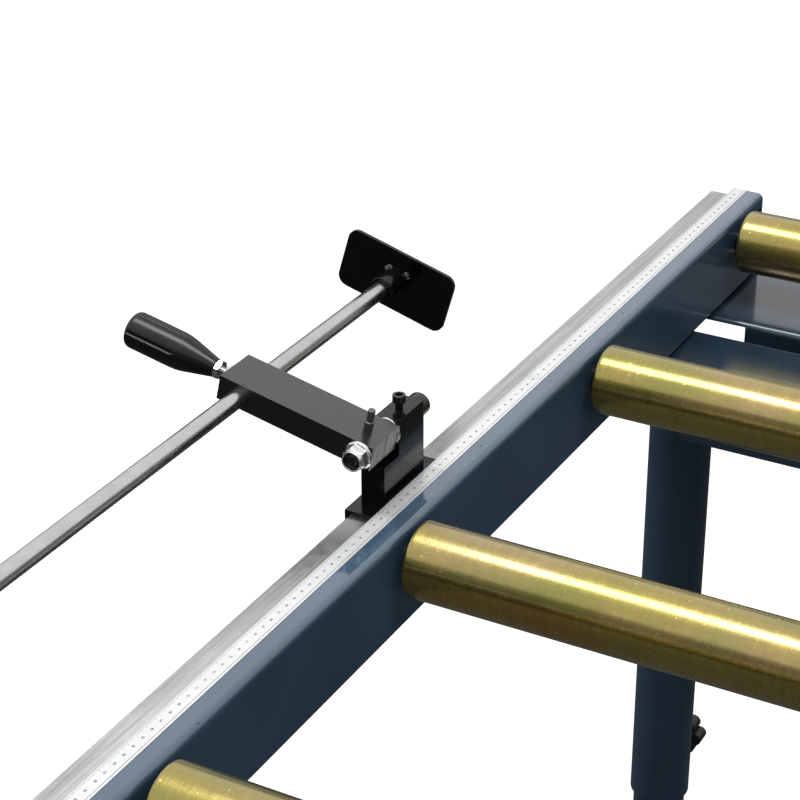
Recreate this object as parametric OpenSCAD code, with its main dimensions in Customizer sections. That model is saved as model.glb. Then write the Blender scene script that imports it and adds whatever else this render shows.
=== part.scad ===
// Roller conveyor for bar stock: two tube rails on adjustable legs, seven free rollers,
// and a length stop that slides on a guide bar beside a scale rule.
// Lengths in millimetres, +Z up, +X along the roller axes, +Y along the bed.
// The origin lies on the floor, in the middle of the whole conveyor's outline.

/* [Bed] */
// Length of one roller
roller_len = 360; // [300:5:500]
// Distance from one roller axis to the next
roller_pitch = 322.5; // [260:0.5:380]
// Distance from the last roller axis to the rail end
end_margin = 60.5; // [50:0.5:90]
// Height of the roller tops above the floor
bed_height = 800; // [780:5:860]
// How far the roller tops stand above the rails
roller_rise = 5; // [3:0.5:8]
// Gap between a roller end and the rail beside it
side_gap = 8; // [6:0.5:14]

/* [Rails] */
// Height of the rail tube
rail_h = 80; // [76:1:100]
// Width of the rail tube
rail_w = 30; // [28:1:50]
// Wall of the rail tube
rail_wall = 3; // [2:0.5:4]
// Outer corner radius of the rail tube
rail_corner = 6; // [5:0.5:8]
// Diameter of the coupling hole near each rail end
coupling_d = 8; // [6:0.5:9]
// Distance of the coupling hole from the rail end
coupling_inset = 7; // [6.5:0.5:12]
// Distance of the coupling hole below the rail top
coupling_drop = 16.5; // [15:0.5:30]

/* [Rollers and axles] */
// Outer diameter of a roller
roller_d = 58; // [54:1:64]
// Wall of the roller tube
roller_wall = 2.5; // [2:0.5:3]
// Radius of the rolled edge at each roller end
roller_edge = 2; // [1:0.5:2]
// Diameter of the fixed axle
axle_d = 15; // [12:1:17]
// Outer diameter of the roller bearing
bearing_d = 35; // [30:1:38]
// Width of the roller bearing
bearing_w = 11; // [9:1:14]
// Depth of the pressed bearing seat inside the roller
seat_w = 15; // [14:1:20]
// Sheet thickness of the bearing seat's floor
seat_floor = 2; // [1.5:0.5:2.5]
// Outer diameter of the spacer between bearing and rail
spacer_d = 20; // [19:0.5:24]

/* [Cross channels] */
// Width of a cross channel along the bed
channel_w = 118; // [100:1:125]
// Depth of a cross channel
channel_depth = 50; // [40:1:60]
// Sheet thickness of a cross channel
channel_t = 4; // [3:0.5:5]
// Outer bend radius of a cross channel
channel_bend = 6; // [5.5:0.5:8]
// How far the channel walls are cut back inside each rail
channel_notch = 33; // [20:1:60]
// Distance of the leg axis from the rail end
leg_inset = 209; // [200:1:240]

/* [Legs] */
// Outer diameter of the leg sleeve
sleeve_d = 57; // [52:1:64]
// Wall of the leg sleeve
sleeve_wall = 3; // [2:0.5:3.5]
// Length of the leg sleeve
sleeve_len = 470; // [400:5:500]
// Distance of the leg axis from the rail's inner face
leg_inboard = 11; // [6:1:20]
// Wall of the inner leg post
post_wall = 2.5; // [2:0.5:4]
// Length of the inner leg post
post_len = 555; // [500:5:590]
// Side of the square foot plate
foot_size = 100; // [96:2:130]
// Thickness of the foot plate
foot_t = 6; // [4:1:10]
// Diameter of the floor bolt holes
foot_hole_d = 11; // [9:1:12]
// Distance between the floor bolt holes
foot_hole_pitch = 74; // [72:1:80]
// Diameter of the lock knob on a leg
knob_d = 40; // [34:1:50]
// Height of the lock knob
knob_h = 24; // [20:1:30]
// Gap between the weld nut and the lock knob
knob_gap = 10; // [6:1:16]
// Number of lobes round a lock knob
knob_lobes = 6; // [5:1:8]
// Thread diameter of the leg lock screw
knob_screw_d = 10; // [8:1:12]
// Height of the lock screw above the sleeve's lower end
knob_rise = 25; // [20:1:60]

/* [Guide bar and rule] */
// Width of the guide bar
bar_w = 23; // [21:0.5:26]
// Thickness of the guide bar
bar_t = 15; // [14:0.5:16]
// How far the guide bar's top lies below the rail top
bar_drop = 7; // [7:0.5:8]
// Bevel along the guide bar's outer edge
bar_bevel = 1; // [0.5:0.1:1.5]
// Width of the guide groove under the bar
groove_w = 6; // [5:0.5:7]
// Depth of the guide groove
groove_d = 4; // [3:0.5:4]
// Distance of the groove from the rail
groove_off = 8; // [7:0.5:9]
// Thread diameter of the guide bar's screws
bar_screw_d = 6; // [5:1:6]
// Width of the scale rule
rule_w = 13.8; // [10:0.2:20]
// Thickness of the scale rule
rule_t = 0.5; // [0.4:0.1:1]

/* [Carriage] */
// Where the length stop stands along the bed
carriage_y = 376; // [-400:1:900]
// Length of the slide shoe
shoe_len = 98; // [90:1:140]
// Sheet thickness of the slide shoe
shoe_t = 3.2; // [3:0.1:3.6]
// Gap between the slide shoe and the rail beside it
shoe_rail_gap = 2.7; // [2:0.1:5]
// Width of the pivot block
block_w = 19.4; // [18:0.1:22]
// Distance of the pivot block's middle from the rail
block_off = 14.1; // [13:0.1:15]
// Length of the pivot block's foot
block_len = 60; // [56:1:64]
// Length of the pivot block's upright
upright_len = 38; // [34:1:40]
// Height of the pivot block's foot
block_step = 29.8; // [26:0.2:31]
// Height of the whole pivot block
block_h = 58.3; // [57.5:0.1:64]
// Height of the pivot above the slide shoe
pivot_h = 48; // [46:0.5:49]
// Distance of the pivot block's back from the carriage centre
block_back = 31; // [28:1:36]
// Diameter of the pivot bolt
pivot_d = 12; // [10:1:12]
// Thickness of the pivot washer
washer_t = 1.7; // [1:0.1:2.5]
// Distance of the pivot lock screw behind the upright's front
lock_back = 18; // [10:1:24]
// Diameter of the pivot lock screw and of the slide lock screw
lock_d = 6; // [5:1:6]
// How far the pivot lock screw's head stands above the upright
lock_stand = 5.5; // [4:0.5:16]

/* [Stop arm] */
// Length of the stop arm
arm_len = 130.5; // [120:0.5:180]
// Width of the stop arm along the bed
arm_w = 39; // [30:1:44]
// Thickness of the stop arm
arm_t = 20; // [19:0.5:20]
// How far the stop arm reaches past its pivot
arm_over = 9.5; // [9:0.5:12]
// Angle of the stop arm above the level
arm_tilt = 12.3; // [0:0.1:30]
// Distance of the stud from the pivot
stud_off = 6; // [6:1:60]
// Height of the stud on the stop arm
stud_h = 16.5; // [8:0.5:24]
// Diameter of the stud's foot
stud_d = 7; // [6:0.5:8]
// Diameter of the stud's tip
stud_tip_d = 5.5; // [3:0.5:5.5]

/* [Clamp handle] */
// Thread diameter of the clamp spindle
spindle_d = 8; // [6:1:12]
// Distance from the arm's end to the grip
grip_gap = 14; // [13:0.5:30]
// Length of the grip
grip_len = 76; // [70:1:110]
// Diameter of the grip
grip_d = 29; // [26:0.5:34]
// Diameter of the grip's narrow end
grip_neck_d = 14; // [13:0.5:18]
// Length of the grip's cone
grip_cone = 30; // [20:1:40]
// Number of grooves along the grip
grip_grooves = 5; // [4:1:8]

/* [Stop rod and plate] */
// Diameter of the stop rod
rod_d = 14; // [12:0.5:14]
// Length of the stop rod
rod_len = 600; // [400:10:800]
// Distance of the rod's axis from the pivot
rod_reach = 103.5; // [96:0.5:108]
// How far the rod's axis lies below the arm's middle
rod_drop = 1.4; // [0:0.1:1.5]
// How far the stop plate stands behind the arm
rod_out = 200; // [100:5:300]
// Length of the stop plate
plate_l = 100; // [80:1:120]
// Height of the stop plate
plate_h = 52.5; // [44:0.5:60]
// Thickness of the stop plate
plate_t = 3; // [2:0.5:6]
// Corner radius of the stop plate
plate_r = 9; // [4:0.5:15]
// Angle of the stop plate above the level
plate_tilt = 16; // [0:0.5:30]
// How far the stop plate's middle hangs below the rod's axis
plate_drop = 2.8; // [0:0.1:5]
// Outer diameter of the stop plate's collar
collar_d = 20.5; // [19:0.5:26]
// Length of the stop plate's collar
collar_len = 26; // [14:1:30]

/* [Fits] */
// Radial clearance of a part that turns on a shaft
run_clear = 0.05; // [0.02:0.01:0.1]
// Gap between faces that move past each other
face_gap = 0.3; // [0.3:0.05:0.5]
// Radial clearance between a leg post and its sleeve
post_clear = 0.5; // [0.4:0.1:0.8]
// Radial clearance of a screw in a plain hole
screw_clear = 0.3; // [0.2:0.1:0.5]

/* [Hidden] */

$fn = 48;
// Overrun of a cut past the face it leaves
cut = 1;
// Rollers in the bed, one tube and one pair of ends each
roller_count = 7;
// Signs of the legs: far or near along Y, right or left along X
FAR = 1;
NEAR = -1;
RIGHT = 1;
LEFT = -1;

// Bed
bed_len = (roller_count - 1) * roller_pitch + 2 * end_margin;
half_len = bed_len / 2;
bed_inner = roller_len + 2 * side_gap;
half_inner = bed_inner / 2;
half_outer = half_inner + rail_w;
rail_top = bed_height - roller_rise;
axle_z = bed_height - roller_d / 2;
rail_axis_x = half_inner + rail_w / 2;

// Cross channels and legs
channel_top = rail_top - rail_h;
channel_end_y = half_len - channel_w / 2;
leg_y = half_len - leg_inset;
leg_x = half_inner - leg_inboard;
sleeve_top = channel_top - channel_t;
sleeve_bottom = sleeve_top - sleeve_len;
post_d = sleeve_d - 2 * sleeve_wall - 2 * post_clear;
knob_z = sleeve_bottom + knob_rise;
nut_af = 1.7 * knob_screw_d;
nut_h = 0.8 * knob_screw_d;
knob_neck_d = 1.8 * knob_screw_d;
knob_neck = nut_h;
knob_start = sleeve_d / 2 + nut_h + knob_gap;

// Bearings and their seats
bearing_x = roller_len / 2 - roller_wall - seat_w + seat_floor + face_gap;
lip_r = roller_d / 2 - 2 * roller_wall;
seat_hole_d = (axle_d + bearing_d) / 2;

// Guide bar, its screws and its groove
bar_x = -half_outer - bar_w;
bar_top = rail_top - bar_drop;
bar_bottom = bar_top - bar_t;
bar_head_d = 5 / 3 * bar_screw_d;
bar_head_h = bar_screw_d;
bar_head_sink = bar_head_h / 12;
bar_head_edge = bar_head_h / 4;
bar_screw_z = bar_top - bar_head_d / 2 - bar_head_edge;
screw_slots = roller_count - 1;

// Slide shoe
shoe_outer_x = bar_x - face_gap - shoe_t;
shoe_top = bar_top + face_gap + shoe_t;
shoe_bottom = bar_bottom - face_gap - shoe_t;
shoe_inner_x = -half_outer - shoe_rail_gap;
shoe_lip_side = 0.4;
shoe_lip_x = -half_outer - groove_off - shoe_lip_side;
shoe_lip_w = groove_w - 2 * shoe_lip_side;
shoe_lip_top = bar_bottom + groove_d - shoe_lip_side;
slide_lock_x = bar_x + (bar_w - groove_off - groove_w) / 2;
thumb_d = 3.3 * lock_d;
thumb_h = 2 * lock_d;
thumb_gap = 1.3 * lock_d;

// Pivot block, bolt and screws
block_x = -half_outer - block_off;
block_front = block_back - block_len;
upright_front = block_back - upright_len;
pivot_z = shoe_top + pivot_h;
arm_back = upright_front - washer_t - face_gap;
arm_front = arm_back - arm_w;
arm_mid = (arm_front + arm_back) / 2;
nut_front = arm_front - face_gap;
nut_len = pivot_d;
nut_flange_d = 11 / 6 * pivot_d;
nut_flange_t = pivot_d / 6;
nut_collar = pivot_d / 4;
pivot_nut_af = 17 / 12 * pivot_d;
nut_turn = 40;
nut_collar_d = 4 / 3 * pivot_d;
nut_recess = pivot_d / 20;
insert_d = 9 / 8 * pivot_d;
washer_d = 11 / 6 * pivot_d;
lock_head_d = 5 / 3 * lock_d;
lock_head_h = lock_d;
lock_socket = 8 / 9 * lock_d;

// Stop arm line, from the pivot towards the clamp handle
grip_start = arm_len - arm_over + grip_gap;
grip_end = grip_start + grip_len;
grip_round = grip_d / 6;
grip_groove_r = grip_d / 18;
stud_seat = arm_t / 5;
clamp_nut_h = 4 / 7 * spindle_d;
clamp_stop_h = 0.4 * spindle_d;
clamp_stop_gap = 0.15 * spindle_d;
rod_end = arm_back + rod_out - face_gap;
grip_reach = (grip_end - grip_round) * cos(arm_tilt)
    + (grip_d / 2 - grip_round) * sin(arm_tilt) + grip_round;

// The middle of the bed lies beside the middle of the outline, because the stop reaches out
outline_right = max(half_outer, leg_x + foot_size / 2);
bed_x = (grip_reach - block_x - outline_right) / 2;

// Put a piece of the bed in its place
module on_bed() {
    translate([bed_x, 0, 0])
        children();
}

// Put a piece of the length stop in its place
module on_carriage() {
    translate([bed_x, carriage_y, 0])
        children();
}

// Put a piece of the stop arm in its place: the pivot is at zero, the arm runs along -X
module on_arm() {
    on_carriage()
        translate([block_x, 0, pivot_z])
            rotate([0, arm_tilt, 0])
                children();
}

// Extrude an outline of the XZ plane along +Y
module along_y(length) {
    translate([0, length, 0])
        rotate([90, 0, 0])
            linear_extrude(length)
                children();
}

// Extrude an outline of the YZ plane along +X
module along_x(length) {
    rotate([90, 0, 90])
        linear_extrude(length)
            children();
}

// A bar along +X, +Y or -X
module bar_along_x(d, length) {
    rotate([0, 90, 0])
        cylinder(d = d, h = length);
}

module bar_along_y(d, length) {
    rotate([-90, 0, 0])
        cylinder(d = d, h = length);
}

module bar_down_arm(d, length) {
    rotate([0, -90, 0])
        cylinder(d = d, h = length);
}

// A hexagon with flats af apart
module hexagon(af) {
    circle(d = af / cos(30), $fn = 6);
}

// A rectangle with round corners, about its middle
module round_rect(w, h, r) {
    square([w - 2 * r, h], center = true);
    square([w, h - 2 * r], center = true);
    for (x = [-1, 1], y = [-1, 1])
        translate([x * (w / 2 - r), y * (h / 2 - r)])
            circle(r = r);
}

// A rectangle below the X axis with its two upper corners round
module round_top(w, h, r) {
    translate([-w / 2, -h])
        square([w, h - r]);
    translate([r - w / 2, -h])
        square([w - 2 * r, h]);
    for (x = [-1, 1])
        translate([x * (w / 2 - r), -r])
            circle(r = r);
}

// Places along the bed: roller axes, and the middles between them
function roller_y(i) = (i - 1) * roller_pitch - half_len + end_margin;
function between_y(i) = roller_y(i) + roller_pitch / 2;

// Rails: rectangular tubes with axle bores and coupling holes
module rail(side) {
    color("#2b3d52")
        on_bed()
            difference() {
                translate([side * rail_axis_x, -half_len, rail_top - rail_h / 2])
                    along_y(bed_len)
                        round_rect(rail_w, rail_h, rail_corner);
                translate([side * rail_axis_x, -half_len - cut, rail_top - rail_h / 2])
                    along_y(bed_len + 2 * cut)
                        round_rect(rail_w - 2 * rail_wall, rail_h - 2 * rail_wall,
                                   rail_corner - rail_wall);
                for (i = [1 : roller_count])
                    translate([side * rail_axis_x - rail_w / 2 - cut, roller_y(i), axle_z])
                        bar_along_x(axle_d, rail_w + 2 * cut);
                for (end = [NEAR, FAR])
                    translate([side * (half_inner + rail_wall / 2) - rail_wall,
                               end * (half_len - coupling_inset), rail_top - coupling_drop])
                        bar_along_x(coupling_d, 2 * rail_wall);
                if (side == LEFT)
                    for (i = [1 : screw_slots])
                        translate([-half_outer - cut, between_y(i), bar_screw_z])
                            bar_along_x(bar_screw_d, rail_wall + 2 * cut);
            }
}

// Cross channel under both rails, its walls cut back at the ends
module cross_channel(y) {
    notch = rail_w + channel_notch + cut;
    color("#2b3d52")
        on_bed()
            difference() {
                translate([-half_outer, y, channel_top])
                    along_x(2 * half_outer)
                        difference() {
                            round_top(channel_w, channel_depth, channel_bend);
                            translate([0, -channel_t])
                                round_top(channel_w - 2 * channel_t, channel_depth,
                                          channel_bend - channel_t);
                        }
                for (x = [-half_outer - cut, half_outer + cut - notch])
                    translate([x, y - channel_w / 2 - cut, channel_top - channel_t - channel_depth])
                        cube([notch, channel_w + 2 * cut, channel_depth]);
            }
}

// Put a piece of a leg in its place: fb is FAR or NEAR, lr is RIGHT or LEFT
module on_leg(fb, lr) {
    on_bed()
        translate([lr * leg_x, fb * leg_y, 0])
            children();
}

// Lay a piece along the leg's lock screw, outward towards the bed's end
module on_lock(fb) {
    translate([0, 0, knob_z])
        rotate([-90 * fb, 0, 0])
            children();
}

// Leg sleeve, welded under a cross channel
module leg_sleeve(fb, lr) {
    color("#2f435a")
        on_leg(fb, lr)
            difference() {
                translate([0, 0, sleeve_bottom])
                    cylinder(d = sleeve_d, h = sleeve_len);
                translate([0, 0, sleeve_bottom - cut])
                    cylinder(d = sleeve_d - 2 * sleeve_wall, h = sleeve_len + 2 * cut);
                on_lock(fb)
                    cylinder(d = knob_screw_d + 2 * screw_clear, h = sleeve_d);
            }
}

// Weld nuts for the leg lock screws, saddled on their sleeves
module leg_nuts() {
    color("#2f435a")
        for (fb = [NEAR, FAR], lr = [LEFT, RIGHT])
            on_leg(fb, lr)
                difference() {
                    on_lock(fb)
                        linear_extrude(sleeve_d / 2 + nut_h)
                            hexagon(nut_af);
                    translate([0, 0, knob_z - nut_af])
                        cylinder(d = sleeve_d, h = 2 * nut_af);
                    on_lock(fb)
                        cylinder(d = knob_screw_d + 2 * run_clear, h = sleeve_d);
                }
}

// Inner leg post
module leg_post(fb, lr) {
    color("#2f435a")
        on_leg(fb, lr)
            translate([0, 0, foot_t])
                difference() {
                    cylinder(d = post_d, h = post_len);
                    translate([0, 0, -cut])
                        cylinder(d = post_d - 2 * post_wall, h = post_len + 2 * cut);
                }
}

// Foot plate with its floor bolt holes
module foot(fb, lr) {
    color("#2f435a")
        on_leg(fb, lr)
            difference() {
                linear_extrude(foot_t)
                    round_rect(foot_size, foot_size, foot_size / 12);
                for (x = [-1, 1], y = [-1, 1])
                    translate([x * foot_hole_pitch / 2, y * foot_hole_pitch / 2, -cut])
                        cylinder(d = foot_hole_d, h = foot_t + 2 * cut);
            }
}

// Lobed knob on its lock screw
module leg_knob(fb, lr) {
    lobe_d = knob_d / 3;
    color("#1c1c1e")
        on_leg(fb, lr)
            on_lock(fb) {
                translate([0, 0, post_d / 2 + face_gap])
                    cylinder(d = knob_screw_d, h = knob_start - post_d / 2 - face_gap + knob_neck);
                translate([0, 0, knob_start])
                    cylinder(d = knob_neck_d, h = knob_neck + knob_h / 2);
                translate([0, 0, knob_start + knob_neck])
                    linear_extrude(knob_h - knob_neck) {
                        circle(d = knob_d - lobe_d);
                        for (i = [1 : knob_lobes])
                            rotate(i * 360 / knob_lobes)
                                translate([(knob_d - lobe_d) / 2, 0])
                                    circle(d = lobe_d);
                    }
            }
}

// Guide bar: flat bar beside the left rail, with a groove below and sunk screw heads
module guide_bar() {
    color("#b9b9b7")
        on_bed()
            difference() {
                translate([bar_x, -half_len, bar_bottom])
                    along_y(bed_len)
                        difference() {
                            polygon([[0, 0], [bar_w, 0], [bar_w, bar_t], [bar_bevel, bar_t],
                                     [0, bar_t - bar_bevel]]);
                            translate([bar_w - groove_off - groove_w, -cut])
                                square([groove_w, groove_d + cut]);
                        }
                for (i = [1 : screw_slots])
                    translate([bar_x - cut, between_y(i), bar_screw_z]) {
                        bar_along_x(bar_screw_d + 2 * screw_clear, bar_w + 2 * cut);
                        bar_along_x(bar_head_d + 2 * screw_clear, bar_head_h + bar_head_sink + cut);
                    }
            }
}

// Cap screws that hold the guide bar to the rail
module guide_bar_screws() {
    shank = bar_w - bar_head_sink - bar_head_h + 2 * rail_wall;
    color("#3a3a3c")
        on_bed()
            for (i = [1 : screw_slots])
                translate([bar_x + bar_head_sink, between_y(i), bar_screw_z])
                    difference() {
                        union() {
                            bar_along_x(bar_head_d, bar_head_h);
                            translate([bar_head_h, 0, 0])
                                bar_along_x(bar_screw_d, shank);
                        }
                        translate([-cut, 0, 0])
                            along_x(bar_head_h / 2 + cut)
                                hexagon(bar_head_d / 2);
                    }
}

// Scale rule on the left rail
module scale_rule() {
    color("#f2f2f0")
        on_bed()
            translate([-half_outer, -half_len, rail_top])
                cube([rule_w, bed_len, rule_t]);
}

// Fixed axles through both rails
module roller_axles() {
    color("#8c8f92")
        on_bed()
            for (i = [1 : roller_count])
                translate([-half_outer, roller_y(i), axle_z])
                    bar_along_x(axle_d, 2 * half_outer);
}

// A ring about an axle, at the same distance inside both roller ends
module ring_pair(i, outer_d, inner_d, x, width) {
    translate([0, roller_y(i), axle_z])
        for (start = [x, -x - width])
            translate([start, 0, 0])
                difference() {
                    bar_along_x(outer_d, width);
                    translate([-cut, 0, 0])
                        bar_along_x(inner_d, width + 2 * cut);
                }
}

// Ball bearings, their inner rings tight on the axles
module roller_bearings() {
    color("#a7a9ab")
        on_bed()
            for (i = [1 : roller_count])
                ring_pair(i, bearing_d, axle_d, bearing_x, bearing_w);
}

// Spacers that keep the bearings away from the rails
module axle_spacers() {
    color("#8c8f92")
        on_bed()
            for (i = [1 : roller_count])
                ring_pair(i, spacer_d, axle_d, bearing_x + bearing_w,
                          half_inner - bearing_x - bearing_w);
}

// Roller tube, its two ends rolled in over the bearing seats
module roller_tube(i) {
    edge_r = roller_d / 2 - roller_edge;
    color("#b79b4a")
        on_bed()
            translate([-roller_len / 2, roller_y(i), axle_z])
                rotate([0, 90, 0])
                    rotate_extrude()
                        difference() {
                            union() {
                                translate([0, roller_edge])
                                    square([roller_d / 2, roller_len - 2 * roller_edge]);
                                square([edge_r, roller_len]);
                                for (x = [roller_edge, roller_len - roller_edge])
                                    translate([edge_r, x])
                                        circle(r = roller_edge);
                            }
                            translate([0, roller_wall])
                                square([roller_d / 2 - roller_wall, roller_len - 2 * roller_wall]);
                            translate([0, -cut])
                                square([lip_r, roller_len + 2 * cut]);
                        }
}

// Pressed bearing seats in both ends of a roller
module roller_ends(i) {
    seat_x = roller_len / 2 - roller_wall - seat_w;
    color("#9a8a52")
        on_bed() {
            ring_pair(i, roller_d - 2 * roller_wall, bearing_d + 2 * run_clear,
                      seat_x + seat_floor, seat_w - seat_floor);
            ring_pair(i, roller_d - 2 * roller_wall, seat_hole_d, seat_x, seat_floor);
        }
}

// Slide shoe: a plate bent round the guide bar, its lip running in the groove
module slide_shoe() {
    wrap_x = bar_x - face_gap;
    lip_x = shoe_lip_x - shoe_lip_w;
    color("#202022")
        on_carriage()
            difference() {
                translate([0, -shoe_len / 2, 0])
                    along_y(shoe_len)
                        polygon([[shoe_outer_x, shoe_bottom], [shoe_lip_x, shoe_bottom],
                                 [shoe_lip_x, shoe_lip_top], [lip_x, shoe_lip_top],
                                 [lip_x, bar_bottom - face_gap], [wrap_x, bar_bottom - face_gap],
                                 [wrap_x, bar_top + face_gap], [shoe_inner_x, bar_top + face_gap],
                                 [shoe_inner_x, shoe_top], [shoe_outer_x, shoe_top]]);
                translate([slide_lock_x, 0, shoe_bottom - cut])
                    cylinder(d = lock_d + 2 * run_clear, h = shoe_t + 2 * cut);
            }
}

// Thumb screw that locks the shoe from below
module slide_lock_screw() {
    thumb_top = shoe_bottom - thumb_gap;
    color("#202022")
        on_carriage()
            translate([slide_lock_x, 0, 0]) {
                translate([0, 0, thumb_top])
                    cylinder(d = lock_d, h = bar_bottom - face_gap - thumb_top);
                translate([0, 0, thumb_top - thumb_h])
                    cylinder(d = thumb_d, h = thumb_h);
            }
}

// Pivot block: a foot welded on the shoe, and an upright that holds the pivot bolt
module pivot_block() {
    color("#202022")
        on_carriage()
            difference() {
                translate([block_x - block_w / 2, 0, shoe_top]) {
                    translate([0, block_front, 0])
                        cube([block_w, block_len, block_step]);
                    translate([0, upright_front, 0])
                        cube([block_w, upright_len, block_h]);
                }
                translate([block_x, upright_front - cut, pivot_z])
                    bar_along_y(pivot_d, upright_len + 2 * cut);
                translate([block_x, upright_front + lock_back, pivot_z])
                    cylinder(d = lock_d + 2 * run_clear, h = block_h);
            }
}

// Pivot bolt, its cap head behind the block
module pivot_bolt() {
    head_d = 1.5 * pivot_d;
    length = block_back - nut_front + nut_len - nut_recess;
    color("#202022")
        on_carriage()
            translate([block_x, block_back, pivot_z])
                difference() {
                    union() {
                        translate([0, -length, 0])
                            bar_along_y(pivot_d, length);
                        bar_along_y(head_d, pivot_d);
                    }
                    translate([0, pivot_d / 2, 0])
                        along_y(pivot_d)
                            hexagon(5 / 6 * pivot_d);
                }
}

// Washer between the block and the arm
module pivot_washer() {
    color("#d9dadb")
        on_carriage()
            translate([block_x, upright_front - washer_t, pivot_z])
                difference() {
                    bar_along_y(washer_d, washer_t);
                    translate([0, -cut, 0])
                        bar_along_y(pivot_d, washer_t + 2 * cut);
                }
}

// Flanged lock nut in front of the arm
module pivot_nut() {
    color("#c9cbcc")
        on_carriage()
            translate([block_x, nut_front - nut_len, pivot_z])
                difference() {
                    union() {
                        translate([0, nut_len - nut_flange_t, 0])
                            bar_along_y(nut_flange_d, nut_flange_t);
                        translate([0, nut_collar, 0])
                            along_y(nut_len - nut_collar - nut_flange_t / 2)
                                rotate(nut_turn)
                                    hexagon(pivot_nut_af);
                        bar_along_y(nut_collar_d, nut_len / 2);
                    }
                    translate([0, -cut, 0])
                        bar_along_y(pivot_d, nut_len + 2 * cut);
                    translate([0, -cut, 0])
                        bar_along_y(insert_d, nut_collar + cut);
                }
}

// Lock ring inside the nut's collar
module nut_insert() {
    color("#151516")
        on_carriage()
            translate([block_x, nut_front - nut_len + nut_recess, pivot_z])
                difference() {
                    bar_along_y(insert_d, nut_collar - nut_recess);
                    translate([0, -cut, 0])
                        bar_along_y(pivot_d, nut_collar + 2 * cut);
                }
}

// Cap screw in the top of the upright, which locks the pivot bolt
module pivot_lock_screw() {
    tip = pivot_d / 2 + face_gap;
    head_z = block_h - pivot_h + lock_stand;
    color("#202022")
        on_carriage()
            translate([block_x, upright_front + lock_back, pivot_z])
                difference() {
                    union() {
                        translate([0, 0, tip])
                            cylinder(d = lock_d, h = head_z - tip);
                        translate([0, 0, head_z])
                            cylinder(d = lock_head_d, h = lock_head_h);
                    }
                    translate([0, 0, head_z + lock_head_h / 2])
                        linear_extrude(lock_head_h)
                            hexagon(lock_socket);
                }
}

// Stop arm: a flat bar bored for the pivot, the rod and the clamp spindle
module stop_arm() {
    color("#242426")
        on_arm()
            difference() {
                translate([arm_over - arm_len, arm_front, -arm_t / 2])
                    cube([arm_len, arm_w, arm_t]);
                translate([0, arm_front - cut, 0])
                    bar_along_y(pivot_d + 2 * run_clear, arm_w + 2 * cut);
                translate([-rod_reach, arm_front - cut, -rod_drop])
                    bar_along_y(rod_d + 2 * run_clear, arm_w + 2 * cut);
                translate([-rod_reach, arm_mid, 0])
                    bar_down_arm(spindle_d + 2 * run_clear, arm_len);
                translate([-stud_off, arm_mid, arm_t / 2 - stud_seat])
                    cylinder(d = stud_d, h = stud_seat + cut);
            }
}

// Stud on top of the arm
module arm_stud() {
    foot_h = 0.4 * stud_h;
    color("#2a2a2c")
        on_arm()
            translate([-stud_off, arm_mid, arm_t / 2]) {
                translate([0, 0, -stud_seat])
                    cylinder(d = stud_d, h = stud_seat + foot_h);
                cylinder(d = stud_tip_d, h = stud_h);
            }
}

// Clamp spindle, which presses on the rod inside the arm
module clamp_spindle() {
    start = rod_reach + rod_d / 2 + face_gap;
    color("#b4b6b8")
        on_arm()
            translate([-start, arm_mid, 0])
                bar_down_arm(spindle_d, grip_start + grip_cone - start);
}

// Hex nut against the grip, and a thinner one near the arm's end
module clamp_nut() {
    arm_end = arm_len - arm_over;
    color("#c9cbcc")
        on_arm()
            for (nut = [[grip_start - clamp_nut_h, clamp_nut_h, 0],
                        [arm_end + clamp_stop_gap, clamp_stop_h, 30]])
                translate([-nut[0], arm_mid, 0])
                    rotate([0, -90, 0])
                        difference() {
                            linear_extrude(nut[1])
                                rotate(nut[2])
                                    hexagon(1.7 * spindle_d);
                            translate([0, 0, -cut])
                                cylinder(d = spindle_d, h = nut[1] + 2 * cut);
                        }
}

// Grip: a cone that grows into a grooved cylinder with a round end
module clamp_grip() {
    groove_start = grip_cone + grip_groove_r;
    color("#1c1c1e")
        on_arm()
            translate([-grip_start, arm_mid, 0])
                rotate([0, -90, 0])
                    difference() {
                        rotate_extrude() {
                            polygon([[0, 0], [grip_neck_d / 2, 0], [grip_d / 2, grip_cone],
                                     [grip_d / 2, grip_len - grip_round],
                                     [grip_d / 2 - grip_round, grip_len], [0, grip_len]]);
                            translate([grip_d / 2 - grip_round, grip_len - grip_round])
                                circle(r = grip_round);
                        }
                        translate([0, 0, -cut])
                            cylinder(d = spindle_d, h = grip_cone + cut);
                        for (i = [1 : grip_grooves])
                            rotate(i * 360 / grip_grooves)
                                translate([grip_d / 2 + grip_groove_r / 4, 0, groove_start])
                                    cylinder(r = grip_groove_r, h = grip_len);
                    }
}

// Stop rod, which slides through the arm
module stop_rod() {
    bevel = rod_d / 15;
    color("#c4c6c8")
        on_arm()
            translate([-rod_reach, rod_end - rod_len, -rod_drop])
                rotate([-90, 0, 0]) {
                    cylinder(d1 = rod_d - 2 * bevel, d2 = rod_d, h = bevel);
                    translate([0, 0, bevel])
                        cylinder(d = rod_d, h = rod_len - bevel);
                }
}

// Collar that carries the stop plate on the rod
module rod_collar() {
    color("#202022")
        on_arm()
            translate([-rod_reach, rod_end + face_gap - collar_len, -rod_drop])
                difference() {
                    bar_along_y(collar_d, collar_len);
                    translate([0, -cut, 0])
                        bar_along_y(rod_d + 2 * run_clear, collar_len + 2 * cut);
                }
}

// Stop plate
module stop_plate() {
    color("#202022")
        on_arm()
            translate([-rod_reach, rod_end + face_gap, -rod_drop])
                rotate([0, plate_tilt - arm_tilt, 0])
                    along_y(plate_t)
                        translate([0, -plate_drop])
                            round_rect(plate_l, plate_h, plate_r);
}

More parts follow.
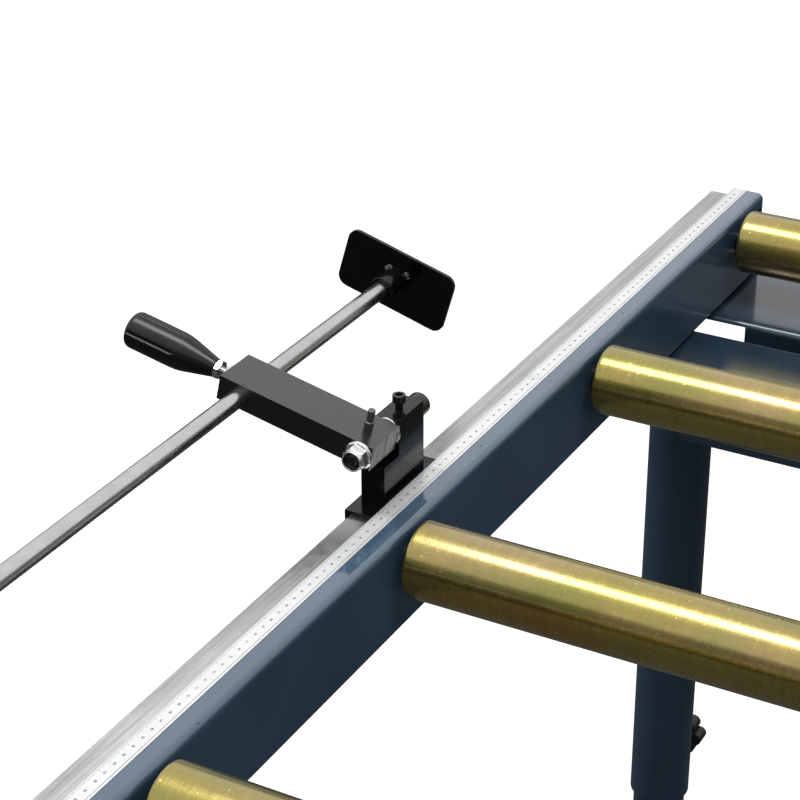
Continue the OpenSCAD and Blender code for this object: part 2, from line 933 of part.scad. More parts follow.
rail(LEFT);  // rail_left
rail(RIGHT);  // rail_right
cross_channel(channel_end_y);  // channel_far_end
cross_channel(leg_y);  // channel_far_leg
cross_channel(-leg_y);  // channel_near_leg
cross_channel(-channel_end_y);  // channel_near_end
leg_sleeve(FAR, LEFT);  // leg_sleeve_far_left
leg_sleeve(FAR, RIGHT);  // leg_sleeve_far_right
leg_sleeve(NEAR, LEFT);  // leg_sleeve_near_left
leg_sleeve(NEAR, RIGHT);  // leg_sleeve_near_right
leg_nuts();
guide_bar();
guide_bar_screws();
scale_rule();
roller_axles();
roller_bearings();
axle_spacers();
leg_post(FAR, LEFT);  // leg_post_far_left
leg_post(FAR, RIGHT);  // leg_post_far_right
leg_post(NEAR, LEFT);  // leg_post_near_left
leg_post(NEAR, RIGHT);  // leg_post_near_right
foot(FAR, LEFT);  // foot_far_left
foot(FAR, RIGHT);  // foot_far_right
foot(NEAR, LEFT);  // foot_near_left
foot(NEAR, RIGHT);  // foot_near_right
leg_knob(FAR, LEFT);  // leg_knob_far_left
leg_knob(FAR, RIGHT);  // leg_knob_far_right
leg_knob(NEAR, LEFT);  // leg_knob_near_left
leg_knob(NEAR, RIGHT);  // leg_knob_near_right
roller_tube(1);  // roller_tube_1
roller_tube(2);  // roller_tube_2
roller_tube(3);  // roller_tube_3
roller_tube(4);  // roller_tube_4
roller_tube(5);  // roller_tube_5
roller_tube(6);  // roller_tube_6
roller_tube(7);  // roller_tube_7
roller_ends(1);  // roller_ends_1
roller_ends(2);  // roller_ends_2
roller_ends(3);  // roller_ends_3
roller_ends(4);  // roller_ends_4
roller_ends(5);  // roller_ends_5
roller_ends(6);  // roller_ends_6
roller_ends(7);  // roller_ends_7
slide_shoe();
slide_lock_screw();
pivot_block();
pivot_bolt();
pivot_washer();
pivot_nut();
nut_insert();
pivot_lock_screw();
stop_arm();
arm_stud();
clamp_spindle();
clamp_nut();
clamp_grip();
stop_rod();
rod_collar();
stop_plate();
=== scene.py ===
"""Roller conveyor for bar stock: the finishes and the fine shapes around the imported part.

Lengths are in metres, in the frame of the part: +X along the roller axes, +Y along the bed,
+Z up, with the origin on the floor.
"""

import math

import bpy
import numpy as np
from mathutils import Matrix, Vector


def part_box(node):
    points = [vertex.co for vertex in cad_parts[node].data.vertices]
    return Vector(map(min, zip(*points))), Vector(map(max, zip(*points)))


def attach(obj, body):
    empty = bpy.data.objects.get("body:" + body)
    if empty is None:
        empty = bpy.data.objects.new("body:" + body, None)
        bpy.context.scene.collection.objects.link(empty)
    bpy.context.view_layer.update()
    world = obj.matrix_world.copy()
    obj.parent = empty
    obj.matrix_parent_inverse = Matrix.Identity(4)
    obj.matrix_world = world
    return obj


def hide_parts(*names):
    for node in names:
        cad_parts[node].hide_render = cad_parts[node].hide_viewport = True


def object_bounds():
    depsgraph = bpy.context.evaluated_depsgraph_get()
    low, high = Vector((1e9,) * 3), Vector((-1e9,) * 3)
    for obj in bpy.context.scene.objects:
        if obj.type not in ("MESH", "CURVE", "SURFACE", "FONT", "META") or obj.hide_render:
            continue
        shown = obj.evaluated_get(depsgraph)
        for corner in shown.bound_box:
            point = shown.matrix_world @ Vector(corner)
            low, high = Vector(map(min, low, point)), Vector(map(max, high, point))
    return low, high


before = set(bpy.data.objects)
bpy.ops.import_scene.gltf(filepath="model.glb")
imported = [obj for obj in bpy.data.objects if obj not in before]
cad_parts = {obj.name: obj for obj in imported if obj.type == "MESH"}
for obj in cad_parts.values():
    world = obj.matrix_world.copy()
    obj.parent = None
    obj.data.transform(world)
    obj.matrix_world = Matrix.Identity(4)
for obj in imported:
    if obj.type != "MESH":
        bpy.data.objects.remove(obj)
cad_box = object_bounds()

MM = 0.001
DEG = math.pi / 180
TURN = 2 * math.pi

# Sizes and places of the part that the pieces below sit on. The box that the part fills gives the
# bed's middle line, because the part reaches RIGHT_REACH to the right of it.

RIGHT_REACH = 227 * MM
BED_X = cad_box[1][0] - RIGHT_REACH
HALF_LEN = 1028 * MM
HALF_OUTER = 218 * MM
RAIL_TOP = 795 * MM
AXLE_Z = 771 * MM
ROLLER_PITCH = 322.5 * MM
ROLLER_COUNT = 7
ROLLER_HALF = 180 * MM
ROLLER_R = 29 * MM
ROLLER_WALL = 2.5 * MM
LEG_X = 177 * MM
LEG_Y = 819 * MM
RULE_WIDE = 13.8 * MM
RULE_THICK = 0.5 * MM
CARRIAGE_Y = 376 * MM
PIVOT_OFF = 232.1 * MM
PIVOT_Z = 839.5 * MM
ARM_TILT = 12.3 * DEG
ARM_MID_Y = CARRIAGE_Y - 28.5 * MM
ARM_BACK_END = 9.5 * MM
ROD_REACH = 103.5 * MM
ROD_DROP = 1.4 * MM
ROD_END_Y = CARRIAGE_Y + 190.7 * MM
GRIP_START = 135 * MM

# Directions of the tilted arm, and the lines that the parts of the stop turn about
ALONG = np.array([-math.cos(ARM_TILT), 0, math.sin(ARM_TILT)])
UPWARD = np.array([math.sin(ARM_TILT), 0, math.cos(ARM_TILT)])
ACROSS = (0, 1, 0)
STRAIGHT_UP = (0, 0, 1)
PIVOT = np.array([BED_X - PIVOT_OFF, 0, PIVOT_Z])
BOLT_AXIS = PIVOT + (0, CARRIAGE_Y, 0)
ARM_AXIS = PIVOT + (0, ARM_MID_Y, 0)
ROD_END = PIVOT + ROD_REACH * ALONG - ROD_DROP * UPWARD + (0, ROD_END_Y, 0)


# Camera, light and floor

# The camera's angles are in radians, its focal length and the aim point's place in pixels
CAMERA_AZIMUTH = 0.5031501
CAMERA_ELEVATION = 0.4805937
CAMERA_ROLL = -0.0036918
CAMERA_FOCUS = 2271.451
SENSOR_WIDTH = 36
VIEW_END = 60
IMAGE_WIDTH = 800
AIM = (BED_X - 211.7 * MM, 445 * MM, RAIL_TOP)
AIM_PIXEL = (459.7447, 446.7447)
AIM_DEPTH = 1722.435 * MM


def pose(x_axis, y_axis, z_axis, place):
    """The matrix of an object with these three axes at place."""
    m = np.eye(4)
    m[:3, 0], m[:3, 1], m[:3, 2], m[:3, 3] = x_axis, y_axis, z_axis, place
    return Matrix(m.tolist())


def place_camera():
    """The camera looks along d = (-sin a cos e, cos a cos e, -sin e), turned by a small roll,
    and stands where the aim point falls on its pixel at its depth."""
    a, e, t = CAMERA_AZIMUTH, CAMERA_ELEVATION, CAMERA_ROLL
    d = np.array([-math.sin(a) * math.cos(e), math.cos(a) * math.cos(e), -math.sin(e)])
    level = np.cross(d, STRAIGHT_UP)
    level /= np.linalg.norm(level)
    down = np.cross(d, level)
    right = math.cos(t) * level - math.sin(t) * down
    down = math.sin(t) * level + math.cos(t) * down
    u = (AIM_PIXEL[0] - IMAGE_WIDTH / 2) / CAMERA_FOCUS
    v = (AIM_PIXEL[1] - IMAGE_WIDTH / 2) / CAMERA_FOCUS
    place = np.array(AIM) - AIM_DEPTH * (u * right + v * down + d)
    data = bpy.data.cameras.new("photo_camera")
    data.sensor_width = SENSOR_WIDTH
    data.lens = CAMERA_FOCUS * SENSOR_WIDTH / IMAGE_WIDTH
    data.clip_end = VIEW_END
    camera = bpy.data.objects.new("photo_camera", data)
    bpy.context.scene.collection.objects.link(camera)
    camera.matrix_world = pose(right, -down, -d, place)
    bpy.context.scene.camera = camera


def soft_light(name, place, aim, size, watts, mirrored=False):
    """A rectangular soft box at place that faces aim. Gloss and metal show it only with mirrored."""
    data = bpy.data.lights.new(name, "AREA")
    data.shape = "RECTANGLE"
    data.size, data.size_y = size
    data.energy = watts
    lamp = bpy.data.objects.new(name, data)
    bpy.context.scene.collection.objects.link(lamp)
    back = np.array(place, float) - np.array(aim, float)
    back /= np.linalg.norm(back)
    side = np.cross(ACROSS, back)
    side /= np.linalg.norm(side)
    lamp.matrix_world = pose(side, np.cross(back, side), back, place)
    lamp.visible_camera = False
    lamp.visible_glossy = mirrored


class Nodes:
    """A shorthand for one node tree."""

    def __init__(self, tree):
        """Keeps the tree that the nodes go into."""
        self.tree = tree

    def add(self, kind, values=None, links=None, **settings):
        """A new node with its settings, the values of its sockets and the links into them."""
        node = self.tree.nodes.new(kind)
        for key, value in settings.items():
            setattr(node, key, value)
        for key, value in (values or {}).items():
            node.inputs[key].default_value = value
        for key, source in (links or {}).items():
            self.tree.links.new(source, node.inputs[key])
        return node

    def math(self, operation, a, b=None, c=None, clamp=False):
        """The result of a Math node on numbers or outputs."""
        node = self.tree.nodes.new("ShaderNodeMath")
        node.operation = operation
        node.use_clamp = clamp
        for i, value in enumerate((a, b, c)):
            if value is None:
                continue
            if isinstance(value, (int, float)):
                node.inputs[i].default_value = value
            else:
                self.tree.links.new(value, node.inputs[i])
        return node.outputs[0]

    def mix(self, factor, a, b):
        """A colour that goes from a to b with factor."""
        node = self.tree.nodes.new("ShaderNodeMix")
        node.data_type = "RGBA"
        for socket, value in ((node.inputs[0], factor), (node.inputs[6], a), (node.inputs[7], b)):
            if isinstance(value, (int, float)):
                socket.default_value = value
            elif isinstance(value, (tuple, list)):
                socket.default_value = (*value[:3], 1)
            else:
                self.tree.links.new(value, socket)
        return node.outputs[2]

    def spread(self, value, low, high, to_low=0.0, to_high=1.0):
        """The value's span from low to high, carried to to_low..to_high and held there."""
        node = self.add("ShaderNodeMapRange", {"From Min": low, "From Max": high,
                                               "To Min": to_low, "To Max": to_high})
        self.tree.links.new(value, node.inputs["Value"])
        return node.outputs["Result"]

    def on_object(self):
        """The place on the object, which patterns are drawn on."""
        return self.add("ShaderNodeTexCoord").outputs["Object"]

    def noise(self, vector, scale, detail=2.0):
        """Plain noise, about 0.5."""
        node = self.add("ShaderNodeTexNoise", {"Scale": scale, "Detail": detail}, {"Vector": vector})
        return node.outputs["Fac"]

    def stretch(self, vector, scale):
        """The vector with each axis multiplied by its own factor."""
        node = self.add("ShaderNodeVectorMath", {1: scale}, {0: vector}, operation="MULTIPLY")
        return node.outputs["Vector"]


def new_material(name):
    """An empty material and the shorthand for its nodes."""
    material = bpy.data.materials.new(name)
    material.use_nodes = True
    material.node_tree.nodes.clear()
    return material, Nodes(material.node_tree)


def seen_directly(n):
    """1 for rays from the camera, from a mirror image or through glass, and 0 for soft light."""
    path = n.add("ShaderNodeLightPath").outputs
    seen = n.math("MAXIMUM", path["Is Camera Ray"], path["Is Glossy Ray"])
    return n.math("MAXIMUM", seen, path["Is Transmission Ray"])


SKY_LEVEL = 0.24


def light_the_world():
    """White for what the camera sees and for what metal mirrors, a plain grey sky for soft light."""
    world = bpy.data.worlds.new("studio")
    bpy.context.scene.world = world
    world.use_nodes = True
    world.node_tree.nodes.clear()
    n = Nodes(world.node_tree)
    seen = seen_directly(n)
    sky = n.add("ShaderNodeBackground", {"Color": (0.98, 0.99, 1.0, 1), "Strength": SKY_LEVEL})
    white = n.add("ShaderNodeBackground", {"Color": (1, 1, 1, 1), "Strength": 1.0})
    both = n.add("ShaderNodeMixShader", links={0: seen, 1: sky.outputs[0], 2: white.outputs[0]})
    n.add("ShaderNodeOutputWorld", links={"Surface": both.outputs[0]})


FLOOR_SHARE = 0.36
FLOOR_LIFT = 0.88
FLOOR_R = 12.0
FLOOR_SIDES = 96


def around(count=96):
    """Angles of one turn, evenly spaced."""
    return np.linspace(0, TURN, count + 1)[:-1]


def lay_floor():
    """A round pale floor. Its own diffuse colour keeps the shadow; camera and mirror rays see
    the rest of the way to white added."""
    q = around(FLOOR_SIDES)
    rim = np.stack([FLOOR_R * np.cos(q), FLOOR_R * np.sin(q), 0 * q], 1)
    mesh = bpy.data.meshes.new("floor")
    mesh.from_pydata(rim.tolist(), [], [list(range(FLOOR_SIDES))])
    floor = bpy.data.objects.new("floor", mesh)
    bpy.context.scene.collection.objects.link(floor)
    material, n = new_material("floor")
    plain = n.add("ShaderNodeBsdfDiffuse", {"Color": (FLOOR_SHARE,) * 3 + (1,)})
    lift = n.add("ShaderNodeEmission", {"Color": (1, 1, 1, 1)},
                 {"Strength": n.math("MULTIPLY", seen_directly(n), FLOOR_LIFT)})
    both = n.add("ShaderNodeAddShader", links={0: plain.outputs[0], 1: lift.outputs[0]})
    n.add("ShaderNodeOutputMaterial", links={"Surface": both.outputs[0]})
    mesh.materials.append(material)


def dark_card(name, corners, level):
    """A dark card of the studio, which shows only in mirror images and shades nothing."""
    mesh = bpy.data.meshes.new(name)
    mesh.from_pydata([list(c) for c in corners], [], [[0, 1, 2, 3]])
    card = bpy.data.objects.new(name, mesh)
    bpy.context.scene.collection.objects.link(card)
    material, n = new_material(name)
    grey = n.add("ShaderNodeEmission", {"Color": (1, 1, 1, 1), "Strength": level})
    n.add("ShaderNodeOutputMaterial", links={"Surface": grey.outputs[0]})
    mesh.materials.append(material)
    card.visible_camera = False
    card.visible_diffuse = False
    card.visible_shadow = False
    card.visible_transmission = False


FLOOR_CARD = 0.07
NEAR_CARD = 0.17
HORIZON_CARD = 0.30
CARD_REACH = 6.0
CARD_LIFT = 2 * MM
HORIZON_TOP = 2.6


def hang_cards():
    """One dark card just above the floor and four upright ones about it: near, right, far, left."""
    corners = [(x * CARD_REACH, y * CARD_REACH) for x, y in ((-1, -1), (1, -1), (1, 1), (-1, 1))]
    dark_card("card_below", [(x, y, CARD_LIFT) for x, y in corners], FLOOR_CARD)
    sides = (("near", 1.6, NEAR_CARD), ("right", 1.0, NEAR_CARD),
             ("far", 1.0, HORIZON_CARD), ("left", 0.6, HORIZON_CARD))
    for k, (side, height, level) in enumerate(sides):
        start, end, top = corners[k], corners[(k + 1) % 4], height * HORIZON_TOP
        dark_card(f"card_{side}", [(*start, 0), (*end, 0), (*end, top), (*start, top)], level)


place_camera()
light_the_world()
lay_floor()
# Each light's name, place, aim, width and height, and watts
soft_light("soft_box_far", (-3.6, 4.2, 3.6), (0, 0.3, 0.8), (6.0, 3.6), 16)
soft_light("soft_box_above", (0.0, 0.25, 4.55), (0.0, 0.25, 0.0), (3.6, 1.25), 122, mirrored=True)
soft_light("soft_box_left", (-2.6, CARRIAGE_Y, 2.9), (-0.15, CARRIAGE_Y, 0.8), (0.9, 0.16), 42)
hang_cards()


# Effects shared by materials

def new_group(name, inputs, outputs):
    """A shader node group with named inputs (kind, default) and outputs (kind)."""
    tree = bpy.data.node_groups.new(name, "ShaderNodeTree")
    for key, (kind, value) in inputs.items():
        socket = tree.interface.new_socket(name=key, in_out="INPUT", socket_type="NodeSocket" + kind)
        if value is not None:
            socket.default_value = value
    for key, kind in outputs.items():
        tree.interface.new_socket(name=key, in_out="OUTPUT", socket_type="NodeSocket" + kind)
    n = Nodes(tree)
    return n, n.add("NodeGroupInput").outputs, n.add("NodeGroupOutput").inputs


def make_specks():
    """Small drops and dust grains: round spots about the points of a Voronoi pattern, kept in a
    share of its cells, each with a size of its own."""
    n, i, o = new_group("specks", {"Vector": ("Vector", None), "Scale": ("Float", 300.0),
                                   "Share": ("Float", 0.2), "Size": ("Float", 0.3)},
                        {"Mask": "Float", "Dome": "Float"})
    cell = n.add("ShaderNodeTexVoronoi", links={"Vector": i["Vector"], "Scale": i["Scale"]})
    parts = n.add("ShaderNodeSeparateColor", links={"Color": cell.outputs["Color"]})
    kept = n.math("LESS_THAN", parts.outputs[0], i["Share"])
    size = n.math("MULTIPLY", i["Size"], n.math("MULTIPLY_ADD", parts.outputs[1], 0.7, 0.3))
    rise = n.math("SUBTRACT", 1.0, n.math("DIVIDE", cell.outputs["Distance"], size), clamp=True)
    dome = n.math("MULTIPLY", n.math("SQRT", rise), kept)
    n.tree.links.new(n.math("MULTIPLY", n.math("GREATER_THAN", rise, 0.12), kept), o["Mask"])
    n.tree.links.new(dome, o["Dome"])
    return n.tree


def make_grain():
    """Drawn or ground grain: noise stretched along one axis, at two widths, about zero."""
    n, i, o = new_group("grain", {"Vector": ("Vector", None), "Stretch": ("Vector", (1, 1, 1)),
                                  "Scale": ("Float", 400.0)}, {"Value": "Float"})
    along = n.add("ShaderNodeVectorMath", links={0: i["Vector"], 1: i["Stretch"]},
                  operation="MULTIPLY").outputs["Vector"]
    fine = n.add("ShaderNodeTexNoise", {"Detail": 3.0}, {"Vector": along, "Scale": i["Scale"]})
    coarse = n.add("ShaderNodeTexNoise", {"Detail": 1.0},
                   {"Vector": along, "Scale": n.math("MULTIPLY", i["Scale"], 0.22)})
    both = n.math("MULTIPLY_ADD", fine.outputs["Fac"], 1.2,
                  n.math("MULTIPLY_ADD", coarse.outputs["Fac"], 0.8, -1.0))
    n.tree.links.new(both, o["Value"])
    return n.tree


def make_edges():
    """Edges: where the rounded normal leaves the true one, broken up by noise."""
    n, i, o = new_group("edges", {"Vector": ("Vector", None), "Radius": ("Float", 0.0006),
                                  "Breaks": ("Float", 260.0)}, {"Mask": "Float", "Normal": "Vector"})
    soft = n.add("ShaderNodeBevel", links={"Radius": i["Radius"]}, samples=6).outputs["Normal"]
    true = n.add("ShaderNodeNewGeometry").outputs["True Normal"]
    dot = n.add("ShaderNodeVectorMath", links={0: soft, 1: true}, operation="DOT_PRODUCT")
    edge = n.spread(dot.outputs["Value"], 0.99, 0.80)
    worn = n.add("ShaderNodeTexNoise", {"Detail": 3.0}, {"Vector": i["Vector"], "Scale": i["Breaks"]})
    n.tree.links.new(n.math("MULTIPLY", edge, n.spread(worn.outputs["Fac"], 0.42, 0.62)), o["Mask"])
    n.tree.links.new(soft, o["Normal"])
    return n.tree


def make_mottle():
    """Cloudy blotches of two sizes, between 0 and 1."""
    n, i, o = new_group("mottle", {"Vector": ("Vector", None), "Scale": ("Float", 40.0)},
                        {"Value": "Float", "Fine": "Float"})
    large = n.add("ShaderNodeTexNoise", {"Detail": 2.0, "Distortion": 0.6},
                  {"Vector": i["Vector"], "Scale": i["Scale"]})
    small = n.add("ShaderNodeTexNoise", {"Detail": 4.0, "Roughness": 0.65},
                  {"Vector": i["Vector"], "Scale": n.math("MULTIPLY", i["Scale"], 7.0)})
    n.tree.links.new(n.spread(large.outputs["Fac"], 0.33, 0.67), o["Value"])
    n.tree.links.new(n.spread(small.outputs["Fac"], 0.30, 0.70), o["Fine"])
    return n.tree


SPECKS = make_specks()
GRAIN = make_grain()
EDGES = make_edges()
MOTTLE = make_mottle()


def place_group(n, tree, vector, values):
    """An effect in a material, with the material's own values for it."""
    node = n.tree.nodes.new("ShaderNodeGroup")
    node.node_tree = tree
    n.tree.links.new(vector, node.inputs["Vector"])
    for key, value in values.items():
        node.inputs[key].default_value = value
    return node.outputs


def surface(n, values, links):
    """The material's one Principled surface and its output."""
    shader = n.add("ShaderNodeBsdfPrincipled", values, links)
    n.add("ShaderNodeOutputMaterial", links={"Surface": shader.outputs[0]})


def bump(n, height, distance, normal=None):
    """The normal of a relief of this height and depth, laid over another normal if one is given."""
    links = {"Height": height}
    if normal is not None:
        links["Normal"] = normal
    return n.add("ShaderNodeBump", {"Strength": 1.0, "Distance": distance}, links).outputs["Normal"]


def times(colour, factor, plus=0.0):
    """The colour made lighter or darker, and at most 1."""
    return tuple(min(1, factor * c + plus) for c in colour)


def paint(name, colour, rough=0.16, specular=0.6, coat=0.0, dust_level=0.3, drop_share=0.10,
          sawn=None, top=None, film=0.07):
    """Sprayed gloss paint: orange peel, a little drift in colour, drops and dust on it, and
    thin light wear along the edges. Before the sawn limit (direction, distance) the metal is
    bare, with the saw's streaks. A clear gloss of strength coat and roughness film lies over it,
    only above the height top where one is given."""
    material, n = new_material(name)
    at = n.on_object()
    edge = place_group(n, EDGES, at, {"Radius": 0.5 * MM, "Breaks": 220.0})
    cloud = place_group(n, MOTTLE, at, {"Scale": 9.0})
    drops = place_group(n, SPECKS, at, {"Scale": 130.0, "Share": drop_share, "Size": 0.20})
    dust = place_group(n, SPECKS, at, {"Scale": 380.0, "Share": 0.10, "Size": 0.26})
    peel = n.noise(at, 700.0, 2.0)
    base = n.mix(cloud["Value"], times(colour, 0.90), times(colour, 1.10))
    base = n.mix(n.math("MULTIPLY", dust["Mask"], dust_level), base, times(colour, 0.45, 0.02))
    base = n.mix(n.math("MULTIPLY", edge["Mask"], 0.55), base, times(colour, 1.7, 0.02))
    gloss = n.spread(n.noise(at, 30.0, 3.0), 0.3, 0.7, rough * 0.8, rough * 1.25)
    gloss = n.math("ADD", gloss, n.math("MULTIPLY", dust["Mask"], 0.35))
    relief = bump(n, peel, 0.018 * MM, edge["Normal"])
    relief = bump(n, drops["Dome"], 0.25 * MM, relief)
    base = n.mix(n.math("MULTIPLY", drops["Mask"], 0.45), base, times(colour, 0.35))
    links = {"Base Color": base, "Roughness": gloss, "Normal": relief}
    if coat > 0:
        film_share = n.math("MULTIPLY_ADD", drops["Mask"], -0.6 * coat, coat)
        if top is not None:
            height = n.add("ShaderNodeSeparateXYZ", links={0: at}).outputs["Z"]
            film_share = n.math("MULTIPLY", n.spread(height, top - 4 * MM, top - 1 * MM), film_share)
        links["Coat Weight"] = film_share
    if sawn:
        direction, distance = sawn
        reach = n.add("ShaderNodeVectorMath", {1: direction}, {0: at}, operation="DOT_PRODUCT")
        bare = n.math("LESS_THAN", reach.outputs["Value"], distance)
        streak = place_group(n, GRAIN, at, {"Stretch": (1.0, 7.0, 0.5), "Scale": 120.0})
        steel = n.mix(n.spread(streak["Value"], -0.25, 0.45), (0.10, 0.10, 0.10), (0.62, 0.62, 0.62))
        links["Base Color"] = n.mix(bare, base, steel)
        links["Metallic"] = bare
        links["Roughness"] = n.math("MULTIPLY_ADD", bare, 0.22, gloss)
    surface(n, {"Specular IOR Level": specular, "Coat Roughness": film, "Coat IOR": 1.8}, links)
    return material


def drawn_steel(name, colour, stretch, rough=0.32, scale=500.0, stain=0.25, contrast=0.25):
    """Bare steel with grain along one axis, darker stains and small dark pits."""
    material, n = new_material(name)
    at = n.on_object()
    edge = place_group(n, EDGES, at, {"Radius": 0.35 * MM, "Breaks": 300.0})
    grain = place_group(n, GRAIN, at, {"Stretch": stretch, "Scale": scale})
    cloud = place_group(n, MOTTLE, at, {"Scale": 14.0})
    pits = place_group(n, SPECKS, at, {"Scale": 260.0, "Share": 0.08, "Size": 0.20})
    tone = n.math("MULTIPLY_ADD", grain["Value"], contrast * 0.5, 0.5)
    base = n.mix(tone, times(colour, 0.72), times(colour, 1.25))
    base = n.mix(n.math("MULTIPLY", cloud["Value"], stain), base, times(colour, 0.70))
    base = n.mix(n.math("MULTIPLY", pits["Mask"], 0.55), base, times(colour, 0.35))
    gloss = n.math("MULTIPLY_ADD", grain["Value"], 0.07, n.spread(cloud["Fine"], 0, 1, rough, rough + 0.14))
    relief = bump(n, grain["Value"], 0.012 * MM, edge["Normal"])
    surface(n, {"Metallic": 1.0}, {"Base Color": base, "Roughness": gloss, "Normal": relief})
    return material


def bright_metal(name, colour, rough, stretch=(1, 1, 1), scale=500.0, smears=0.10):
    """Plated or ground metal: faint grain, smears and soft edges."""
    material, n = new_material(name)
    at = n.on_object()
    edge = place_group(n, EDGES, at, {"Radius": 0.25 * MM, "Breaks": 400.0})
    grain = place_group(n, GRAIN, at, {"Stretch": stretch, "Scale": scale})
    cloud = place_group(n, MOTTLE, at, {"Scale": 60.0})
    base = n.mix(cloud["Value"], times(colour, 0.94), times(colour, 1.06))
    base = n.mix(n.math("MULTIPLY", cloud["Fine"], smears), base, times(colour, 0.55))
    gloss = n.math("MULTIPLY_ADD", grain["Value"], 0.05,
                   n.spread(cloud["Fine"], 0, 1, rough * 0.8, rough * 1.3))
    relief = bump(n, grain["Value"], 0.006 * MM, edge["Normal"])
    surface(n, {"Metallic": 1.0}, {"Base Color": base, "Roughness": gloss, "Normal": relief})
    return material


def zinc_skin(name):
    """Yellow passivated zinc on steel tube: gold with olive and rosy clouds, fine marks round and
    along the tube, bright crystal flecks and tiny stains, under a thin clear film. The attribute
    seam marks the weld's ridge (red), the tarnish beside it (green) and the browned side (blue)."""
    material, n = new_material(name)
    at = n.on_object()
    cloud = place_group(n, MOTTLE, n.stretch(at, (0.55, 1.0, 1.0)), {"Scale": 26.0})
    wide = n.noise(n.stretch(at, (0.4, 1.0, 1.0)), 12.0, 2.0)
    turned = place_group(n, GRAIN, at, {"Stretch": (9.0, 0.7, 0.7), "Scale": 90.0})
    drawn = place_group(n, GRAIN, at, {"Stretch": (0.35, 6.0, 6.0), "Scale": 90.0})
    fleck = place_group(n, SPECKS, at, {"Scale": 300.0, "Share": 0.05, "Size": 0.42})
    pit = place_group(n, SPECKS, at, {"Scale": 210.0, "Share": 0.07, "Size": 0.24})
    marked = n.add("ShaderNodeAttribute", attribute_name="seam").outputs["Color"]
    ridge, tarnish, side = n.add("ShaderNodeSeparateColor", links={"Color": marked}).outputs
    gold, olive, rose = (0.450, 0.345, 0.075), (0.310, 0.300, 0.060), (0.600, 0.380, 0.220)
    base = n.mix(cloud["Value"], olive, gold)
    base = n.mix(n.math("MULTIPLY", n.spread(wide, 0.46, 0.60), 0.55), base, rose)
    base = n.mix(n.math("MULTIPLY", cloud["Fine"], 0.28), base, (0.215, 0.165, 0.035))
    base = n.mix(n.math("MULTIPLY", pit["Mask"], 0.45), base, (0.16, 0.12, 0.035))
    base = n.mix(n.math("MULTIPLY", fleck["Mask"], 0.45), base, (0.80, 0.72, 0.36))
    brown = n.mix(n.spread(wide, 0.40, 0.56), (0.86, 0.44, 0.10), (0.62, 0.54, 0.10))
    base = n.mix(n.math("MULTIPLY", side, 0.8), base, brown)
    base = n.mix(n.math("MULTIPLY", tarnish, 0.75), base, (0.20, 0.12, 0.030))
    base = n.mix(n.math("MULTIPLY", ridge, 0.6), base, (0.72, 0.58, 0.26))
    marks = n.math("MULTIPLY_ADD", turned["Value"], 0.6, n.math("MULTIPLY", drawn["Value"], 0.4))
    base = n.mix(n.spread(marks, -0.16, 0.16, 0.22, 0.0), base, (0.200, 0.140, 0.030))
    gloss = n.math("MULTIPLY_ADD", marks, 0.12, n.spread(cloud["Fine"], 0, 1, 0.20, 0.30))
    relief = bump(n, marks, 0.012 * MM)
    relief = bump(n, fleck["Dome"], 0.05 * MM, relief)
    surface(n, {"Metallic": 0.85, "Coat Weight": 1.0, "Coat Roughness": 0.14, "Coat IOR": 1.5,
                "Specular IOR Level": 0.3},
            {"Base Color": base, "Roughness": gloss, "Normal": relief})
    return material


def moulded(name, colour, rough, specular=0.5, grain_scale=900.0, depth=0.01):
    """Moulded plastic, ink or oiled black steel: fine skin texture, faint smears, softened edges."""
    material, n = new_material(name)
    at = n.on_object()
    edge = place_group(n, EDGES, at, {"Radius": 0.5 * MM, "Breaks": 200.0})
    smear = n.noise(at, 55.0, 3.0)
    skin = n.noise(at, grain_scale, 2.0)
    base = n.mix(n.spread(smear, 0.35, 0.65), times(colour, 0.8), times(colour, 1.25))
    gloss = n.spread(smear, 0.3, 0.7, rough * 0.8, rough * 1.35)
    relief = bump(n, skin, depth * MM, edge["Normal"])
    surface(n, {"Specular IOR Level": specular},
            {"Base Color": base, "Roughness": gloss, "Normal": relief})
    return material


PAINT_BLUE = (0.047, 0.092, 0.150)
SAWN_DEPTH = 0.05 * MM
ARM_CUT = float(ALONG @ PIVOT) - ARM_BACK_END + SAWN_DEPTH

frame_paint = paint("frame_paint", PAINT_BLUE, rough=0.20, specular=0.22, coat=1.0,
                    drop_share=0.22, top=RAIL_TOP)
# Painted shade: the channels carry the frame's own blue paint, made darker here because they lie in shade
# under the rollers and beside the rail webs.
shaded_channel_paint = paint("shaded_channel_paint", times(PAINT_BLUE, 0.45), rough=0.16, specular=0.40, coat=0.4)
# Painted shade: the legs, feet and leg nuts carry the frame's own blue paint, made darker here for the
# weaker light that falls on them.
leg_paint = paint("leg_paint", times(PAINT_BLUE, 0.60), rough=0.24, specular=0.30)
black_paint = paint("black_paint", (0.0035, 0.0035, 0.0035), rough=0.14, specular=0.32,
                    dust_level=0.05, drop_share=0.03)
weld_paint = paint("weld_paint", (0.006, 0.006, 0.006), rough=0.10, specular=1.0, coat=1.0,
                   dust_level=0.2, drop_share=0.5)
arm_paint = paint("arm_paint", (0.004, 0.004, 0.004), rough=0.24, specular=0.40, coat=0.60,
                  dust_level=0.05, sawn=(tuple(ALONG), ARM_CUT), film=0.20)
bar_steel = drawn_steel("bar_steel", (0.56, 0.56, 0.56), (6.0, 0.12, 6.0), 0.28,
                        scale=110.0, stain=0.35, contrast=3.0)
axle_steel = drawn_steel("axle_steel", (0.42, 0.43, 0.44), (5.0, 1.0, 1.0), 0.30)
stud_steel = drawn_steel("stud_steel", (0.16, 0.16, 0.16), (5.0, 5.0, 0.8), 0.30)
bearing_steel = bright_metal("bearing_steel", (0.62, 0.63, 0.64), 0.18)
rod_steel = bright_metal("rod_steel", (0.56, 0.56, 0.57), 0.21, (5.0, 0.4, 5.0),
                         scale=160.0, smears=0.05)
